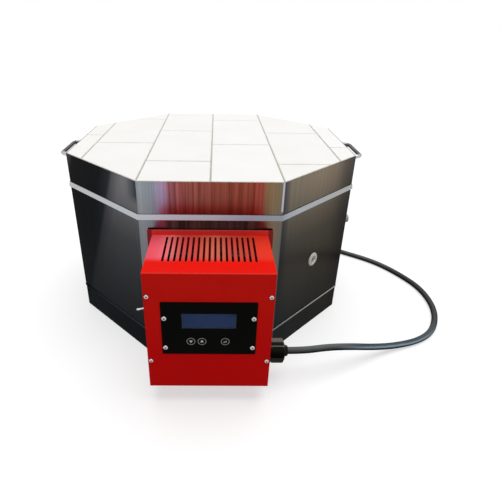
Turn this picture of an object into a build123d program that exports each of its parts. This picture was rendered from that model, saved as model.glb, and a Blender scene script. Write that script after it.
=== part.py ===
"""Octagonal electric ceramic kiln with a lift-off brick lid and a control box on its front.

Millimetres, +Z up. The origin is on the kiln's upright axis, on the surface that it stands on,
and the control box faces -Y.
"""

import os
from math import ceil, cos, pi, radians, sin, sqrt, tan

from build123d import *

os.makedirs("parts", exist_ok=True)

# Kiln outline from above: a square whose corners are cut at 45 degrees
kiln_width = 535.0
straight_face = 230.0
fit_gap = 0.3

# Refractory bricks
brick_length = 230.0
brick_width = 115.0
wall_brick_thickness = 64.0
slab_brick_thickness = 50.0
brick_joint = 1.5
brick_edge_chamfer = 1.2
lid_brick_proud = 1.0
slab_cross_joints = {-2.5: 24.0, -1.5: -38.0, -0.5: -160.0, 0.5: -45.0, 1.5: -173.0, 2.5: -60.0}

# Sheet metal round the bricks
casing_sheet = 1.0
blanket_thickness = 12.0
base_height = 47.0
base_sheet = 1.5
base_inset = 0.4
rim_height = 9.0
rim_below_brick = 2.5
rim_sheet = 1.0
rim_reach_top = 1.2
rim_reach_bottom = 2.6
gasket_thickness = 2.5
gasket_width = 60.0
band_sheet = 1.0
band_gap = 0.5

# Seam strips at the back and their rivets
seam_width = 30.0
seam_sheet = 1.0
seam_margin = 4.0
seam_rivet_spacing = 18.0
body_rivet_rows = 4
body_rivet_pitch = 56.0
lid_rivet_pitch = 26.0
rivet_radius = 1.6
rivet_head_radius = 3.0
rivet_head_height = 1.2

# Lid handles: one bent rod on each side
handle_spacing = 96.0
handle_reach = 32.5
handle_rod = 8.0
handle_bend = 13.0
handle_flange_radius = 9.0
handle_flange = 2.0
handle_height = 33.5
handle_bolt_radius = 2.1
handle_bolt_depth = 14.0
handle_bolt_head_radius = 4.2
handle_bolt_head = 3.0

# Heating element: coils in grooves round the chamber, linked at the front
element_rows = 4
element_pitch = 46.0
first_row_height = 36.5
groove_height = 13.0
groove_depth = 14.0
coil_radius = 5.5
element_rod_radius = 2.5
link_offset = 15.0
link_groove_width = 10.0
insulator_radius = 6.0
insulator_reach = 10.0
tail_reach = 12.0
clamp_radius = 5.0
clamp_length = 18.0

# Thermocouple
thermocouple_x = -30.0
sheath_radius = 4.0
sheath_reach = 25.0
thermocouple_block_size = (24.0, 14.0, 14.0)
block_edge = 1.5

# Peepholes: one in the front right corner face, one in the right side face
sleeve_radius = 13.0
sleeve_bore = 7.0
sleeve_proud = 2.5
plug_clearance = 0.3
plug_shank = 50.0
plug_taper = 1.2
grip_radius = 9.0
grip_length = 36.0
corner_plug_recess = 1.5
corner_plug_length = 60.0
hook_hole_radius = 2.5
hook_hole_depth = 12.0

# Control box
box_width = 188.0
box_depth = 124.0
box_bottom = 35.0
box_above_upper_tail = 19.0
box_sheet = 1.2
box_fold = 2.0
flange_width = 12.0
lip_height = 9.0
plate_margin = 8.0
plate_sheet = 1.5
plate_gap = 3.0
plate_corner = 3.0
plate_drop = 2.0
slot_count = 17
slot_pitch = 8.55
slot_length = 79.0
slot_width = 3.5
slot_margin = 12.0

# Screws: pan heads outside, bolts that hold the box to the casing
screw_radius = 2.0
screw_head_radius = 3.8
screw_head = 2.4
screw_length = 8.0
screw_hole = 2.3
cover_screw_edge = 5.0
cover_screw_from_bottom = 53.0
cover_screw_from_top = 39.0
chassis_screw_edge = 8.0
chassis_screw_from_bottom = 40.0
chassis_screw_from_top = 40.0
mounting_bolt_edge = 24.0
mounting_bolt_from_bottom = 24.5
mounting_bolt_from_top = 15.5
mounting_bolt_radius = 2.5
mounting_bolt_head_radius = 4.8
mounting_bolt_head = 3.2
spacer_radius = 6.0
mounting_nut_radius = 4.6
mounting_nut_length = 9.0
bolt_clearance = 0.15

# Front panel with its display and buttons
panel_size = (141.0, 95.0)
panel_sheet = 1.0
panel_corner = 2.0
panel_height = 114.5
panel_screw_spacing = (131.2, 54.0)
panel_screw_height = 107.0
window_size = (80.0, 27.0)
window_height = 128.5
window_gap = 0.1
display_frame = (88.0, 34.0, 7.0)
display_board = (98.0, 38.0, 1.6)
display_pin_strip = (42.0, 2.6)
display_gap = 0.2
button_height = 92.0
button_places = {"button_down": -27.0, "button_up": -10.5, "button_enter": 24.3}
button_hole = 7.0
button_clearance = 0.3
button_proud = 0.6
button_flange_radius = 7.7
button_flange = 1.5
button_stem_radius = 2.5
button_slot_margin = 1.5
button_gap = 0.1
button_travel = 0.5
stem_gap = 0.1
switch_size = (6.0, 6.0, 4.0)
switch_plunger_radius = 1.7
switch_plunger = 1.2
standoff_length = 12.0
standoff_radius = 3.6
board_size = (142.0, 84.0, 1.6)
board_height = 110.0
board_nut_radius = 3.6
board_nut = 3.2

# Electrical parts inside the box, on its back plate: width, height and depth, and their places
relay_size = (45.0, 58.0, 24.0)
relay_from_side = 49.0
relay_from_top = 50.0
supply_size = (48.0, 70.0, 26.0)
supply_from_side = 40.0
supply_from_top = 58.0
terminal_size = (72.0, 22.0, 20.0)
terminal_from_bottom = 25.0

# Toggle switch on the left side of the box
toggle_y = -335.0
toggle_z = 147.0
toggle_body_size = (20.0, 28.0, 14.0)
toggle_bushing_radius = 5.9
toggle_bushing = 7.0
toggle_bore = 3.4
toggle_nut_radius = 8.0
toggle_nut = 2.6
toggle_tilt = 15.0
toggle_lever_length = 19.0
toggle_lever_base = 1.8
toggle_lever_tip = 2.7
toggle_ball = 2.6
toggle_pivot_depth = 3.0

# Cable gland on the right side of the box
gland_y = -333.0
gland_z = 58.0
gland_flats = 36.0
gland_flange = 9.0
gland_thread_radius = 12.4
gland_thread = 13.0
gland_nut_hex = 12.0
gland_nut_dome = 12.5
gland_mouth_radius = 9.5
gland_locknut_flats = 30.0
gland_locknut = 5.0
gland_seal_radius = 11.0
gland_seal = 16.0

# Supply cord
cord_radius = 6.0
cord_bore_gap = 0.4
cable_tail_length = 62.0
arc_share = 0.45
coil_center = (130.0, 366.0)
coil_start_angle = 30.0
coil_outer_radius = 75.5
coil_pitch = 12.7
coil_layer_rise = 13.0
coil_span_angles = (105.0, 105.0, 105.0, 90.0, 90.0, 105.0, 105.0, 105.0)
coil_flat_span_count = 3
coil_climb_span_count = 2
coil_lead_in = 12.0
coil_tail = 40.0

# Mains plug on the end of the cord
plug_boot_length = 24.0
plug_boot_radius = 8.0
plug_boot_flare = 2.0
plug_shoulder = 7.0
plug_edge = 1.5
plug_edge_length = 3.0
plug_body_length = 38.0
plug_nose_length = 8.0
plug_nose_taper = 2.0
plug_pin_radius = 2.4
plug_pin_length = 19.0
plug_pin_spacing = 19.0

# Levels above the floor
floor_top = base_sheet + slab_brick_thickness
wall_top = floor_top + brick_length
rim_top = wall_top - rim_below_brick
rim_bottom = rim_top - rim_height
lid_underside = wall_top + gasket_thickness
kiln_top = lid_underside + slab_brick_thickness
band_bottom = rim_top + band_gap
band_top = kiln_top - lid_brick_proud
casing_top = rim_top - rim_sheet
row_heights = [floor_top + first_row_height + element_pitch * i for i in range(element_rows)]
peephole_z = (row_heights[1] + row_heights[2]) / 2
box_top = row_heights[-1] + box_above_upper_tail
handle_z = band_bottom + handle_height

# Depths behind the casing's outer face
blanket_inset = casing_sheet
wall_outer_inset = casing_sheet + blanket_thickness
wall_inner_inset = wall_outer_inset + wall_brick_thickness
groove_inset = wall_inner_inset - groove_depth
coil_inset = groove_inset + fit_gap + coil_radius

# Faces of the octagon, anticlockwise from above: straight faces and corner faces take turns
FACES = ("front", "front_right", "right", "back_right", "back", "back_left", "left", "front_left")
half_width = kiln_width / 2
corner_cut = half_width - straight_face / 2
straight_distance = half_width
corner_distance = half_width * sqrt(2) - corner_cut / sqrt(2)
mitre = tan(radians(22.5))

# Levels of the control box, along Y
wall_face_y = -half_width
plate_back_y = wall_face_y - plate_gap
plate_front_y = plate_back_y - plate_sheet
box_front_y = wall_face_y - box_depth
cover_inner_y = box_front_y + box_sheet
board_front_y = cover_inner_y + standoff_length
side_outer_x = box_width / 2
side_inner_x = side_outer_x - box_sheet


def is_corner(face):
    """Whether a face cuts off one of the square's corners."""
    return "_" in face


def face_directions(face):
    """The outward normal of a face and the direction along it."""
    angle = radians(45 * FACES.index(face) - 90)
    return (cos(angle), sin(angle)), (-sin(angle), cos(angle))


def face_point(face, along, inset):
    """A point on a face of the octagon that lies inset behind the kiln's outline."""
    normal, tangent = face_directions(face)
    out = (corner_distance if is_corner(face) else straight_distance) - inset
    return (normal[0] * out + tangent[0] * along, normal[1] * out + tangent[1] * along)


def face_reach(face, inset):
    """Half the length of a face of the octagon at that inset."""
    half_length = corner_cut / sqrt(2) if is_corner(face) else straight_face / 2
    return half_length - inset * mitre


def face_plane(face, along, inset, z):
    """A plane on a face: X runs along the face, Y runs up and Z points outwards."""
    normal, tangent = face_directions(face)
    x, y = face_point(face, along, inset)
    return Plane(origin=(x, y, z), x_dir=(tangent[0], tangent[1], 0), z_dir=(normal[0], normal[1], 0))


def octagon(inset):
    """The eight corners of the kiln's outline at that inset."""
    return [face_point(face, face_reach(face, inset), inset) for face in FACES]


def octagon_ring(outer_inset, inner_inset):
    """Draws the ring between two octagons into the sketch that is open."""
    Polygon(*octagon(outer_inset), align=None)
    Polygon(*octagon(inner_inset), align=None, mode=Mode.SUBTRACT)


def front_plane(y):
    """A plane that faces the front: X runs to the right, Y runs up and Z points to -Y."""
    return Plane.XZ.offset(-y)


def corners(spacing, height):
    """The four places of a rectangle of screws on a front plane, centred at that height."""
    half_x, half_z = spacing[0] / 2, spacing[1] / 2
    return [(x, height + z) for x in (-half_x, half_x) for z in (-half_z, half_z)]


def box_corners(edge, from_bottom, from_top):
    """The four places of a rectangle of screws, measured from the edges of the control box."""
    x = box_width / 2 - edge
    return [(side * x, z) for side in (-1, 1) for z in (box_bottom + from_bottom, box_top - from_top)]


def save(builder, name):
    """Labels a finished piece and writes it."""
    builder.part.label = name
    export_step(builder.part, f"parts/{name}.step")


# Base

with BuildPart() as base_pan:
    with BuildSketch():
        Polygon(*octagon(base_inset), align=None)
    extrude(amount=base_sheet)
    with BuildSketch(Plane.XY.offset(base_sheet)):
        octagon_ring(base_inset, base_inset + casing_sheet)
    extrude(amount=base_height - base_sheet)
save(base_pan, "base_pan")


def slab_brick_places():
    """The centres of the bricks of a slab, laid in strips along Y."""
    places = []
    for strip, joint in slab_cross_joints.items():
        first = joint - brick_length * ceil((joint + half_width) / brick_length)
        while first < half_width:
            places.append((strip * brick_width, first + brick_length / 2))
            first += brick_length
    return places


def slab_bricks(z, inset):
    """The outlines of a slab's whole and cut bricks, trimmed to the octagon."""
    with BuildSketch(Plane.XY.offset(z)) as bricks:
        with Locations(*slab_brick_places()):
            Rectangle(brick_width - brick_joint, brick_length - brick_joint)
        Polygon(*octagon(inset), align=None, mode=Mode.INTERSECT)
    return bricks.sketch


with BuildPart() as floor_bricks:
    add(slab_bricks(base_sheet, base_inset + casing_sheet + fit_gap))
    extrude(amount=slab_brick_thickness)
save(floor_bricks, "floor_bricks")


# Wall of the chamber


def drill_peepholes(radius, depth_inset):
    """Cuts the two peepholes from outside to that depth."""
    for face in ("front_right", "right"):
        with Locations(face_plane(face, 0, depth_inset, peephole_z)):
            Cylinder(
                radius,
                depth_inset + 2 * sleeve_proud,
                align=(Align.CENTER, Align.CENTER, Align.MIN),
                mode=Mode.SUBTRACT,
            )


def drill_front(places, radius, from_inset, to_inset):
    """Cuts round holes in the front wall between two depths."""
    with BuildSketch(front_plane(wall_face_y + to_inset)) as circles:
        with Locations(*places):
            Circle(radius)
    extrude(circles.sketch, amount=to_inset - from_inset, mode=Mode.SUBTRACT)


tail_places = [(link_offset, row_heights[0]), (link_offset, row_heights[-1])]
thermocouple_place = [(thermocouple_x, peephole_z)]

with BuildPart() as wall_bricks:
    with BuildSketch(Plane.XY.offset(floor_top)):
        for face in FACES:
            for side in (-1, 1):
                outer = face_reach(face, wall_outer_inset) - brick_joint / 2
                inner = face_reach(face, wall_inner_inset) - brick_joint / 2
                start = brick_joint / 2
                Polygon(
                    face_point(face, side * start, wall_outer_inset),
                    face_point(face, side * outer, wall_outer_inset),
                    face_point(face, side * inner, wall_inner_inset),
                    face_point(face, side * start, wall_inner_inset),
                    align=None,
                )
    extrude(amount=brick_length)
    for z in row_heights:
        with BuildSketch(Plane.XY.offset(z - groove_height / 2)):
            octagon_ring(groove_inset, wall_inner_inset + groove_depth)
        extrude(amount=groove_height, mode=Mode.SUBTRACT)
    for row in range(element_rows - 1):
        link_x = link_offset * (-1 if row % 2 == 0 else 1)
        with BuildSketch(front_plane(wall_face_y + wall_inner_inset)):
            with Locations((link_x, row_heights[row] + element_pitch / 2)):
                Rectangle(link_groove_width, element_pitch)
        extrude(amount=groove_depth, mode=Mode.SUBTRACT)
    drill_peepholes(sleeve_radius + fit_gap, wall_inner_inset)
    drill_front(tail_places, insulator_radius + fit_gap, 0, groove_inset)
    drill_front(thermocouple_place, sheath_radius + fit_gap, 0, wall_inner_inset)
save(wall_bricks, "wall_bricks")

mounting_places = box_corners(mounting_bolt_edge, mounting_bolt_from_bottom, mounting_bolt_from_top)

with BuildPart() as insulation_blanket:
    with BuildSketch(Plane.XY.offset(floor_top)):
        octagon_ring(blanket_inset, wall_outer_inset)
    extrude(amount=casing_top - floor_top)
    drill_peepholes(sleeve_radius + fit_gap, wall_outer_inset)
    drill_front(tail_places, insulator_radius + fit_gap, 0, wall_outer_inset)
    drill_front(thermocouple_place, sheath_radius + fit_gap, 0, wall_outer_inset)
    drill_front(mounting_places, mounting_nut_radius + fit_gap, 0, wall_outer_inset)
save(insulation_blanket, "insulation_blanket")


def rivet_places(rows, pitch, z):
    """Places of two columns of rivets on the back face, centred at height z."""
    return [
        (side * seam_rivet_spacing / 2, z + pitch * (row - (rows - 1) / 2))
        for side in (-1, 1)
        for row in range(rows)
    ]


def drill_back(places, radius, depth):
    """Cuts round holes in the back face to that depth."""
    with BuildSketch(face_plane("back", 0, -seam_sheet, 0)) as circles:
        with Locations(*places):
            Circle(radius)
    extrude(circles.sketch, amount=-seam_sheet - depth, mode=Mode.SUBTRACT)


seam_bottom = base_height + seam_margin
seam_top = rim_bottom - seam_margin
body_rivets_at = rivet_places(body_rivet_rows, body_rivet_pitch, (seam_bottom + seam_top) / 2)
lid_rivets_at = rivet_places(2, lid_rivet_pitch, (band_bottom + band_top) / 2)

with BuildPart() as body_casing:
    with BuildSketch(Plane.XY.offset(base_height)):
        octagon_ring(0, casing_sheet)
    extrude(amount=casing_top - base_height)
    drill_peepholes(sleeve_radius + fit_gap, casing_sheet)
    drill_front(tail_places, insulator_radius + fit_gap, 0, casing_sheet)
    drill_front(thermocouple_place, sheath_radius + fit_gap, 0, casing_sheet)
    drill_front(mounting_places, mounting_bolt_radius + bolt_clearance, 0, casing_sheet)
    drill_back(body_rivets_at, rivet_radius, casing_sheet)
save(body_casing, "body_casing")

with BuildPart() as body_rim:
    with BuildSketch(Plane.XY.offset(rim_bottom)):
        Polygon(*octagon(-rim_reach_bottom), align=None)
    with BuildSketch(Plane.XY.offset(rim_top)):
        Polygon(*octagon(-rim_reach_top), align=None)
    loft(ruled=True)
    with BuildSketch(Plane.XY.offset(rim_bottom)):
        Polygon(*octagon(-fit_gap / 2), align=None)
    extrude(amount=rim_height - rim_sheet, mode=Mode.SUBTRACT)
    with BuildSketch(Plane.XY.offset(rim_top)):
        Polygon(*octagon(wall_outer_inset - fit_gap), align=None)
    extrude(amount=-rim_height, mode=Mode.SUBTRACT)
save(body_rim, "body_rim")


def seam_strip(bottom, top, places):
    """A flat strip over a seam at the back, with its rivet holes."""
    with BuildPart() as strip:
        with BuildSketch(face_plane("back", 0, 0, (bottom + top) / 2)):
            Rectangle(seam_width, top - bottom)
        extrude(amount=seam_sheet)
        drill_back(places, rivet_radius, 0)
    return strip


def rivets(places, grip):
    """Domed rivets through a seam strip and the sheet behind it."""
    with BuildPart() as group:
        with BuildSketch(face_plane("back", 0, -seam_sheet, 0)):
            with Locations(*places):
                Circle(rivet_head_radius)
        extrude(amount=rivet_head_height, taper=30)
        with BuildSketch(face_plane("back", 0, -seam_sheet, 0)):
            with Locations(*places):
                Circle(rivet_radius)
        extrude(amount=-seam_sheet - grip)
    return group


save(seam_strip(seam_bottom, seam_top, body_rivets_at), "casing_seam_strip")
save(rivets(body_rivets_at, casing_sheet), "casing_rivets")

# Heating element, in one piece from tail to tail

with BuildPart() as heating_element:
    coil_y = -half_width + coil_inset
    tail_end_y = plate_front_y - insulator_reach - tail_reach
    for row, z in enumerate(row_heights):
        turns = octagon(coil_inset)
        with BuildLine() as row_path:
            Polyline(
                (link_offset, coil_y, z),
                *[(x, y, z) for x, y in turns],
                (-link_offset, coil_y, z),
            )
        with BuildSketch(Plane(origin=(link_offset, coil_y, z), x_dir=(0, 1, 0), z_dir=(1, 0, 0))):
            Circle(coil_radius)
        sweep(path=row_path.wires()[0], transition=Transition.RIGHT)
        if row < element_rows - 1:
            link_x = link_offset * (-1 if row % 2 == 0 else 1)
            with BuildSketch(Plane.XY.offset(z)):
                with Locations((link_x, coil_y)):
                    Circle(element_rod_radius)
            extrude(amount=element_pitch)
    with BuildSketch(front_plane(coil_y)):
        with Locations(*tail_places):
            Circle(element_rod_radius)
    extrude(amount=coil_y - tail_end_y)
save(heating_element, "heating_element")

with BuildPart() as tail_insulators:
    with BuildSketch(front_plane(wall_face_y + groove_inset)):
        with Locations(*tail_places):
            Circle(insulator_radius)
            Circle(element_rod_radius + fit_gap, mode=Mode.SUBTRACT)
    extrude(amount=groove_inset - (plate_front_y - wall_face_y) + insulator_reach)
save(tail_insulators, "tail_insulators")

with BuildPart() as tail_clamps:
    with BuildSketch(front_plane(plate_front_y - insulator_reach - fit_gap)):
        with Locations(*tail_places):
            Circle(clamp_radius)
            Circle(element_rod_radius + bolt_clearance, mode=Mode.SUBTRACT)
    extrude(amount=clamp_length)
    for x, z in tail_places:
        with BuildSketch(Plane.XY.offset(z)):
            with Locations((x, tail_end_y + tail_reach / 2)):
                Circle(screw_radius)
        extrude(amount=clamp_radius + screw_head)
    with BuildSketch(front_plane(plate_front_y - insulator_reach - fit_gap)):
        with Locations(*tail_places):
            Circle(element_rod_radius + bolt_clearance)
    extrude(amount=tail_reach, mode=Mode.SUBTRACT)
save(tail_clamps, "tail_clamps")

# Thermocouple: a ceramic sheath into the chamber and its connection block in the box

with BuildPart() as thermocouple_sheath:
    with BuildSketch(front_plane(wall_face_y + wall_inner_inset + sheath_reach)):
        with Locations(*thermocouple_place):
            Circle(sheath_radius)
    extrude(amount=wall_inner_inset + sheath_reach - (plate_front_y - wall_face_y))
    fillet(thermocouple_sheath.faces().sort_by(Axis.Y)[-1].edges(), sheath_radius * 0.8)
save(thermocouple_sheath, "thermocouple_sheath")


def block_on_plate(size, place, edge):
    """A rectangular part on the back plate: size is width, height and depth."""
    with BuildPart() as block:
        with BuildSketch(front_plane(plate_front_y)):
            with Locations(place):
                Rectangle(size[0], size[1])
        extrude(amount=size[2])
        chamfer(block.faces().sort_by(Axis.Y)[0].edges(), edge)
    return block


save(
    block_on_plate(thermocouple_block_size, (thermocouple_x, peephole_z), block_edge),
    "thermocouple_block",
)

# Peepholes


def peephole_sleeve(face):
    """A ceramic tube from the chamber to just outside the casing."""
    with BuildPart() as sleeve:
        with BuildSketch(face_plane(face, 0, wall_inner_inset, peephole_z)):
            Circle(sleeve_radius)
            Circle(sleeve_bore, mode=Mode.SUBTRACT)
        extrude(amount=wall_inner_inset + sleeve_proud)
    return sleeve


save(peephole_sleeve("right"), "peephole_sleeve_side")
save(peephole_sleeve("front_right"), "peephole_sleeve_corner")

plug_radius = sleeve_bore - plug_clearance

with BuildPart() as peephole_plug_side:
    with Locations(face_plane("right", 0, -sleeve_proud, peephole_z)):
        Cone(
            plug_radius - plug_taper,
            plug_radius,
            plug_shank,
            align=(Align.CENTER, Align.CENTER, Align.MAX),
        )
    with Locations(face_plane("right", 0, -sleeve_proud, peephole_z)):
        Cone(
            grip_radius - plug_taper,
            grip_radius,
            grip_length,
            align=(Align.CENTER, Align.CENTER, Align.MIN),
        )
    chamfer(peephole_plug_side.faces().sort_by(Axis.X)[-1].edges(), plug_taper)
save(peephole_plug_side, "peephole_plug_side")

with BuildPart() as peephole_plug_corner:
    with Locations(face_plane("front_right", 0, corner_plug_recess - sleeve_proud, peephole_z)):
        Cone(
            plug_radius - plug_taper,
            plug_radius,
            corner_plug_length,
            align=(Align.CENTER, Align.CENTER, Align.MAX),
        )
        Cylinder(
            hook_hole_radius,
            hook_hole_depth,
            align=(Align.CENTER, Align.CENTER, Align.MAX),
            mode=Mode.SUBTRACT,
        )
save(peephole_plug_corner, "peephole_plug_corner")

# Lid: bricks held in a steel band, with a gasket under them and a handle on each side

handle_places = [(along, handle_z) for along in (-handle_spacing / 2, handle_spacing / 2)]

lid_brick_inset = band_sheet + fit_gap


def lid_brick(outline):
    """One brick of the lid with its upper edges broken, less where it is cut to a narrow piece."""
    with BuildPart() as brick:
        add(outline)
        extrude(amount=slab_brick_thickness)
        upper_edges = brick.faces().sort_by(Axis.Z)[-1].edges()
        shortest = min(edge.length for edge in upper_edges)
        chamfer(upper_edges, min(brick_edge_chamfer, shortest / 4))
    return brick.part


laid_bricks = [lid_brick(outline) for outline in slab_bricks(lid_underside, lid_brick_inset).faces()]

with BuildPart() as lid_bricks:
    add(laid_bricks)
    for face in ("left", "right"):
        with BuildSketch(face_plane(face, 0, 0, 0)):
            with Locations(*handle_places):
                Circle(handle_bolt_head_radius + fit_gap)
        extrude(amount=-band_sheet - handle_bolt_head - fit_gap, mode=Mode.SUBTRACT)
    drill_back(lid_rivets_at, rivet_radius + fit_gap, band_sheet + seam_sheet)
save(lid_bricks, "lid_bricks")

with BuildPart() as lid_cement:
    with BuildSketch(Plane.XY.offset(lid_underside)):
        Polygon(*octagon(lid_brick_inset + band_sheet), align=None)
        with Locations(*slab_brick_places()):
            Rectangle(brick_width - brick_joint, brick_length - brick_joint, mode=Mode.SUBTRACT)
    extrude(amount=slab_brick_thickness - brick_edge_chamfer)
save(lid_cement, "lid_cement")

with BuildPart() as lid_band:
    with BuildSketch(Plane.XY.offset(band_bottom)):
        octagon_ring(0, band_sheet)
    extrude(amount=band_top - band_bottom)
    for face in ("left", "right"):
        with BuildSketch(face_plane(face, 0, 0, 0)):
            with Locations(*handle_places):
                Circle(handle_bolt_radius + bolt_clearance)
        extrude(amount=-2 * band_sheet, mode=Mode.SUBTRACT)
    drill_back(lid_rivets_at, rivet_radius, band_sheet)
save(lid_band, "lid_band")

with BuildPart() as lid_gasket:
    with BuildSketch(Plane.XY.offset(wall_top)):
        octagon_ring(wall_outer_inset, wall_outer_inset + gasket_width)
    extrude(amount=gasket_thickness)
save(lid_gasket, "lid_gasket")

save(seam_strip(band_bottom + seam_margin, band_top - seam_margin, lid_rivets_at), "lid_seam_strip")
save(rivets(lid_rivets_at, band_sheet), "lid_rivets")


def lid_handle(side):
    """A bent rod with a flange at each foot: side is 1 on the right and -1 on the left."""
    near, far = side * half_width, side * (half_width + handle_reach)
    half = handle_spacing / 2
    with BuildPart() as handle:
        with BuildLine() as rod_path:
            FilletPolyline(
                (near, -half, handle_z),
                (far, -half, handle_z),
                (far, half, handle_z),
                (near, half, handle_z),
                radius=handle_bend,
            )
        with BuildSketch(Plane(origin=(near, -half, handle_z), z_dir=(side, 0, 0))):
            Circle(handle_rod / 2)
        sweep(path=rod_path.wires()[0])
        with BuildSketch(face_plane("right" if side > 0 else "left", 0, 0, 0)):
            with Locations(*handle_places):
                Circle(handle_flange_radius)
        extrude(amount=handle_flange, taper=20)
        with BuildSketch(face_plane("right" if side > 0 else "left", 0, 0, 0)):
            with Locations(*handle_places):
                Circle(handle_bolt_radius + bolt_clearance)
        extrude(amount=handle_bolt_depth, mode=Mode.SUBTRACT)
    return handle


save(lid_handle(1), "lid_handle_right")
save(lid_handle(-1), "lid_handle_left")

with BuildPart() as handle_bolts:
    for face in ("left", "right"):
        with BuildSketch(face_plane(face, 0, band_sheet, 0)):
            with Locations(*handle_places):
                Circle(handle_bolt_radius)
        extrude(amount=band_sheet + handle_bolt_depth - fit_gap)
        with BuildSketch(face_plane(face, 0, band_sheet, 0)):
            with Locations(*handle_places):
                RegularPolygon(handle_bolt_head_radius, 6)
        extrude(amount=-handle_bolt_head)
save(handle_bolts, "handle_bolts")

# Control box: back plate held off the hot casing, chassis, and a folded cover

plate_bottom = box_bottom - plate_drop
plate_top = box_top + lip_height
chassis_screw_places = box_corners(
    chassis_screw_edge, chassis_screw_from_bottom, chassis_screw_from_top
)
cover_screw_places = box_corners(cover_screw_edge, cover_screw_from_bottom, cover_screw_from_top)
panel_screw_places = corners(panel_screw_spacing, box_bottom + panel_screw_height)


def holes(y, places, radius, depth):
    """Cuts round holes from the plane at y, going backwards into the box by that depth."""
    with BuildSketch(front_plane(y)) as circles:
        with Locations(*places):
            Circle(radius)
    extrude(circles.sketch, amount=-depth, mode=Mode.SUBTRACT)


def screws(head_y, places, shank_radius, head_radius, head, length):
    """Pan head screws whose heads sit on the plane at head_y and whose shanks point to +Y."""
    with BuildPart() as group:
        with BuildSketch(front_plane(head_y)):
            with Locations(*places):
                Circle(head_radius)
        extrude(amount=head, taper=25)
        with BuildSketch(front_plane(head_y)):
            with Locations(*places):
                Circle(shank_radius)
        extrude(amount=-length)
    return group


with BuildPart() as control_back_plate:
    with BuildSketch(front_plane(plate_back_y)):
        with Locations((0, (plate_bottom + plate_top) / 2)):
            RectangleRounded(box_width + 2 * plate_margin, plate_top - plate_bottom, plate_corner)
    extrude(amount=plate_sheet)
    holes(plate_front_y, tail_places, insulator_radius + fit_gap, plate_sheet)
    holes(plate_front_y, thermocouple_place, sheath_radius + fit_gap, plate_sheet)
    holes(plate_front_y, mounting_places, mounting_bolt_radius + bolt_clearance, plate_sheet)
    holes(plate_front_y, chassis_screw_places, screw_radius + bolt_clearance, plate_sheet)
save(control_back_plate, "control_back_plate")

with BuildPart() as plate_spacers:
    with BuildSketch(front_plane(wall_face_y)):
        with Locations(*mounting_places):
            Circle(spacer_radius)
            Circle(mounting_bolt_radius + bolt_clearance, mode=Mode.SUBTRACT)
    extrude(amount=plate_gap)
save(plate_spacers, "plate_spacers")

bolt_length = plate_sheet + plate_gap + casing_sheet + mounting_nut_length
save(
    screws(
        plate_front_y,
        mounting_places,
        mounting_bolt_radius,
        mounting_bolt_head_radius,
        mounting_bolt_head,
        bolt_length,
    ),
    "mounting_bolts",
)

with BuildPart() as mounting_nuts:
    with BuildSketch(front_plane(wall_face_y + casing_sheet + mounting_nut_length)):
        with Locations(*mounting_places):
            Circle(mounting_nut_radius)
            Circle(mounting_bolt_radius + bolt_clearance, mode=Mode.SUBTRACT)
    extrude(amount=mounting_nut_length)
save(mounting_nuts, "mounting_nuts")

chassis_top = box_top - box_sheet
chassis_height = chassis_top - box_bottom
chassis_depth = plate_front_y - cover_inner_y
inner_width = box_width - 2 * box_sheet


def chassis_flange(y):
    """The inward flange at the front or the back of the chassis, open at the top."""
    with BuildSketch(front_plane(y)) as flange:
        with Locations((0, box_bottom)):
            Rectangle(inner_width, chassis_height, align=(Align.CENTER, Align.MIN))
        with Locations((0, box_bottom + flange_width)):
            Rectangle(
                inner_width - 2 * flange_width,
                chassis_height,
                align=(Align.CENTER, Align.MIN),
                mode=Mode.SUBTRACT,
            )
    extrude(flange.sketch, amount=box_sheet)


with BuildPart() as control_chassis:
    with BuildSketch(front_plane(plate_front_y)):
        with Locations((0, box_bottom)):
            Rectangle(box_width, chassis_height, align=(Align.CENTER, Align.MIN))
        with Locations((0, box_bottom + box_sheet)):
            Rectangle(inner_width, chassis_height, align=(Align.CENTER, Align.MIN), mode=Mode.SUBTRACT)
    extrude(amount=chassis_depth)
    chassis_flange(plate_front_y)
    chassis_flange(cover_inner_y + box_sheet)
    for side in (-1, 1):
        with BuildSketch(Plane.XY.offset(chassis_top)):
            with Locations((side * (side_inner_x - flange_width / 2), (plate_front_y + cover_inner_y) / 2)):
                Rectangle(flange_width, chassis_depth)
        extrude(amount=-box_sheet)
    holes(cover_inner_y, cover_screw_places, screw_radius + bolt_clearance, box_sheet)
    holes(plate_front_y - box_sheet, chassis_screw_places, screw_radius + bolt_clearance, box_sheet)
    with Locations(Plane(origin=(-side_outer_x, toggle_y, toggle_z), z_dir=(1, 0, 0))):
        Cylinder(toggle_bushing_radius + bolt_clearance, 4 * box_sheet, mode=Mode.SUBTRACT)
    with Locations(Plane(origin=(side_outer_x, gland_y, gland_z), z_dir=(1, 0, 0))):
        Cylinder(gland_thread_radius + bolt_clearance, 4 * box_sheet, mode=Mode.SUBTRACT)
save(control_chassis, "control_chassis")

save(
    screws(
        plate_front_y - box_sheet,
        chassis_screw_places,
        screw_radius,
        screw_head_radius,
        screw_head,
        box_sheet + plate_sheet + plate_gap / 2,
    ),
    "chassis_screws",
)

button_xs = list(button_places.values())
slot_left = min(button_xs) - button_flange_radius - button_slot_margin
slot_right = max(button_xs) + button_flange_radius + button_slot_margin
button_z = box_bottom + button_height
window_z = box_bottom + window_height

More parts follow.
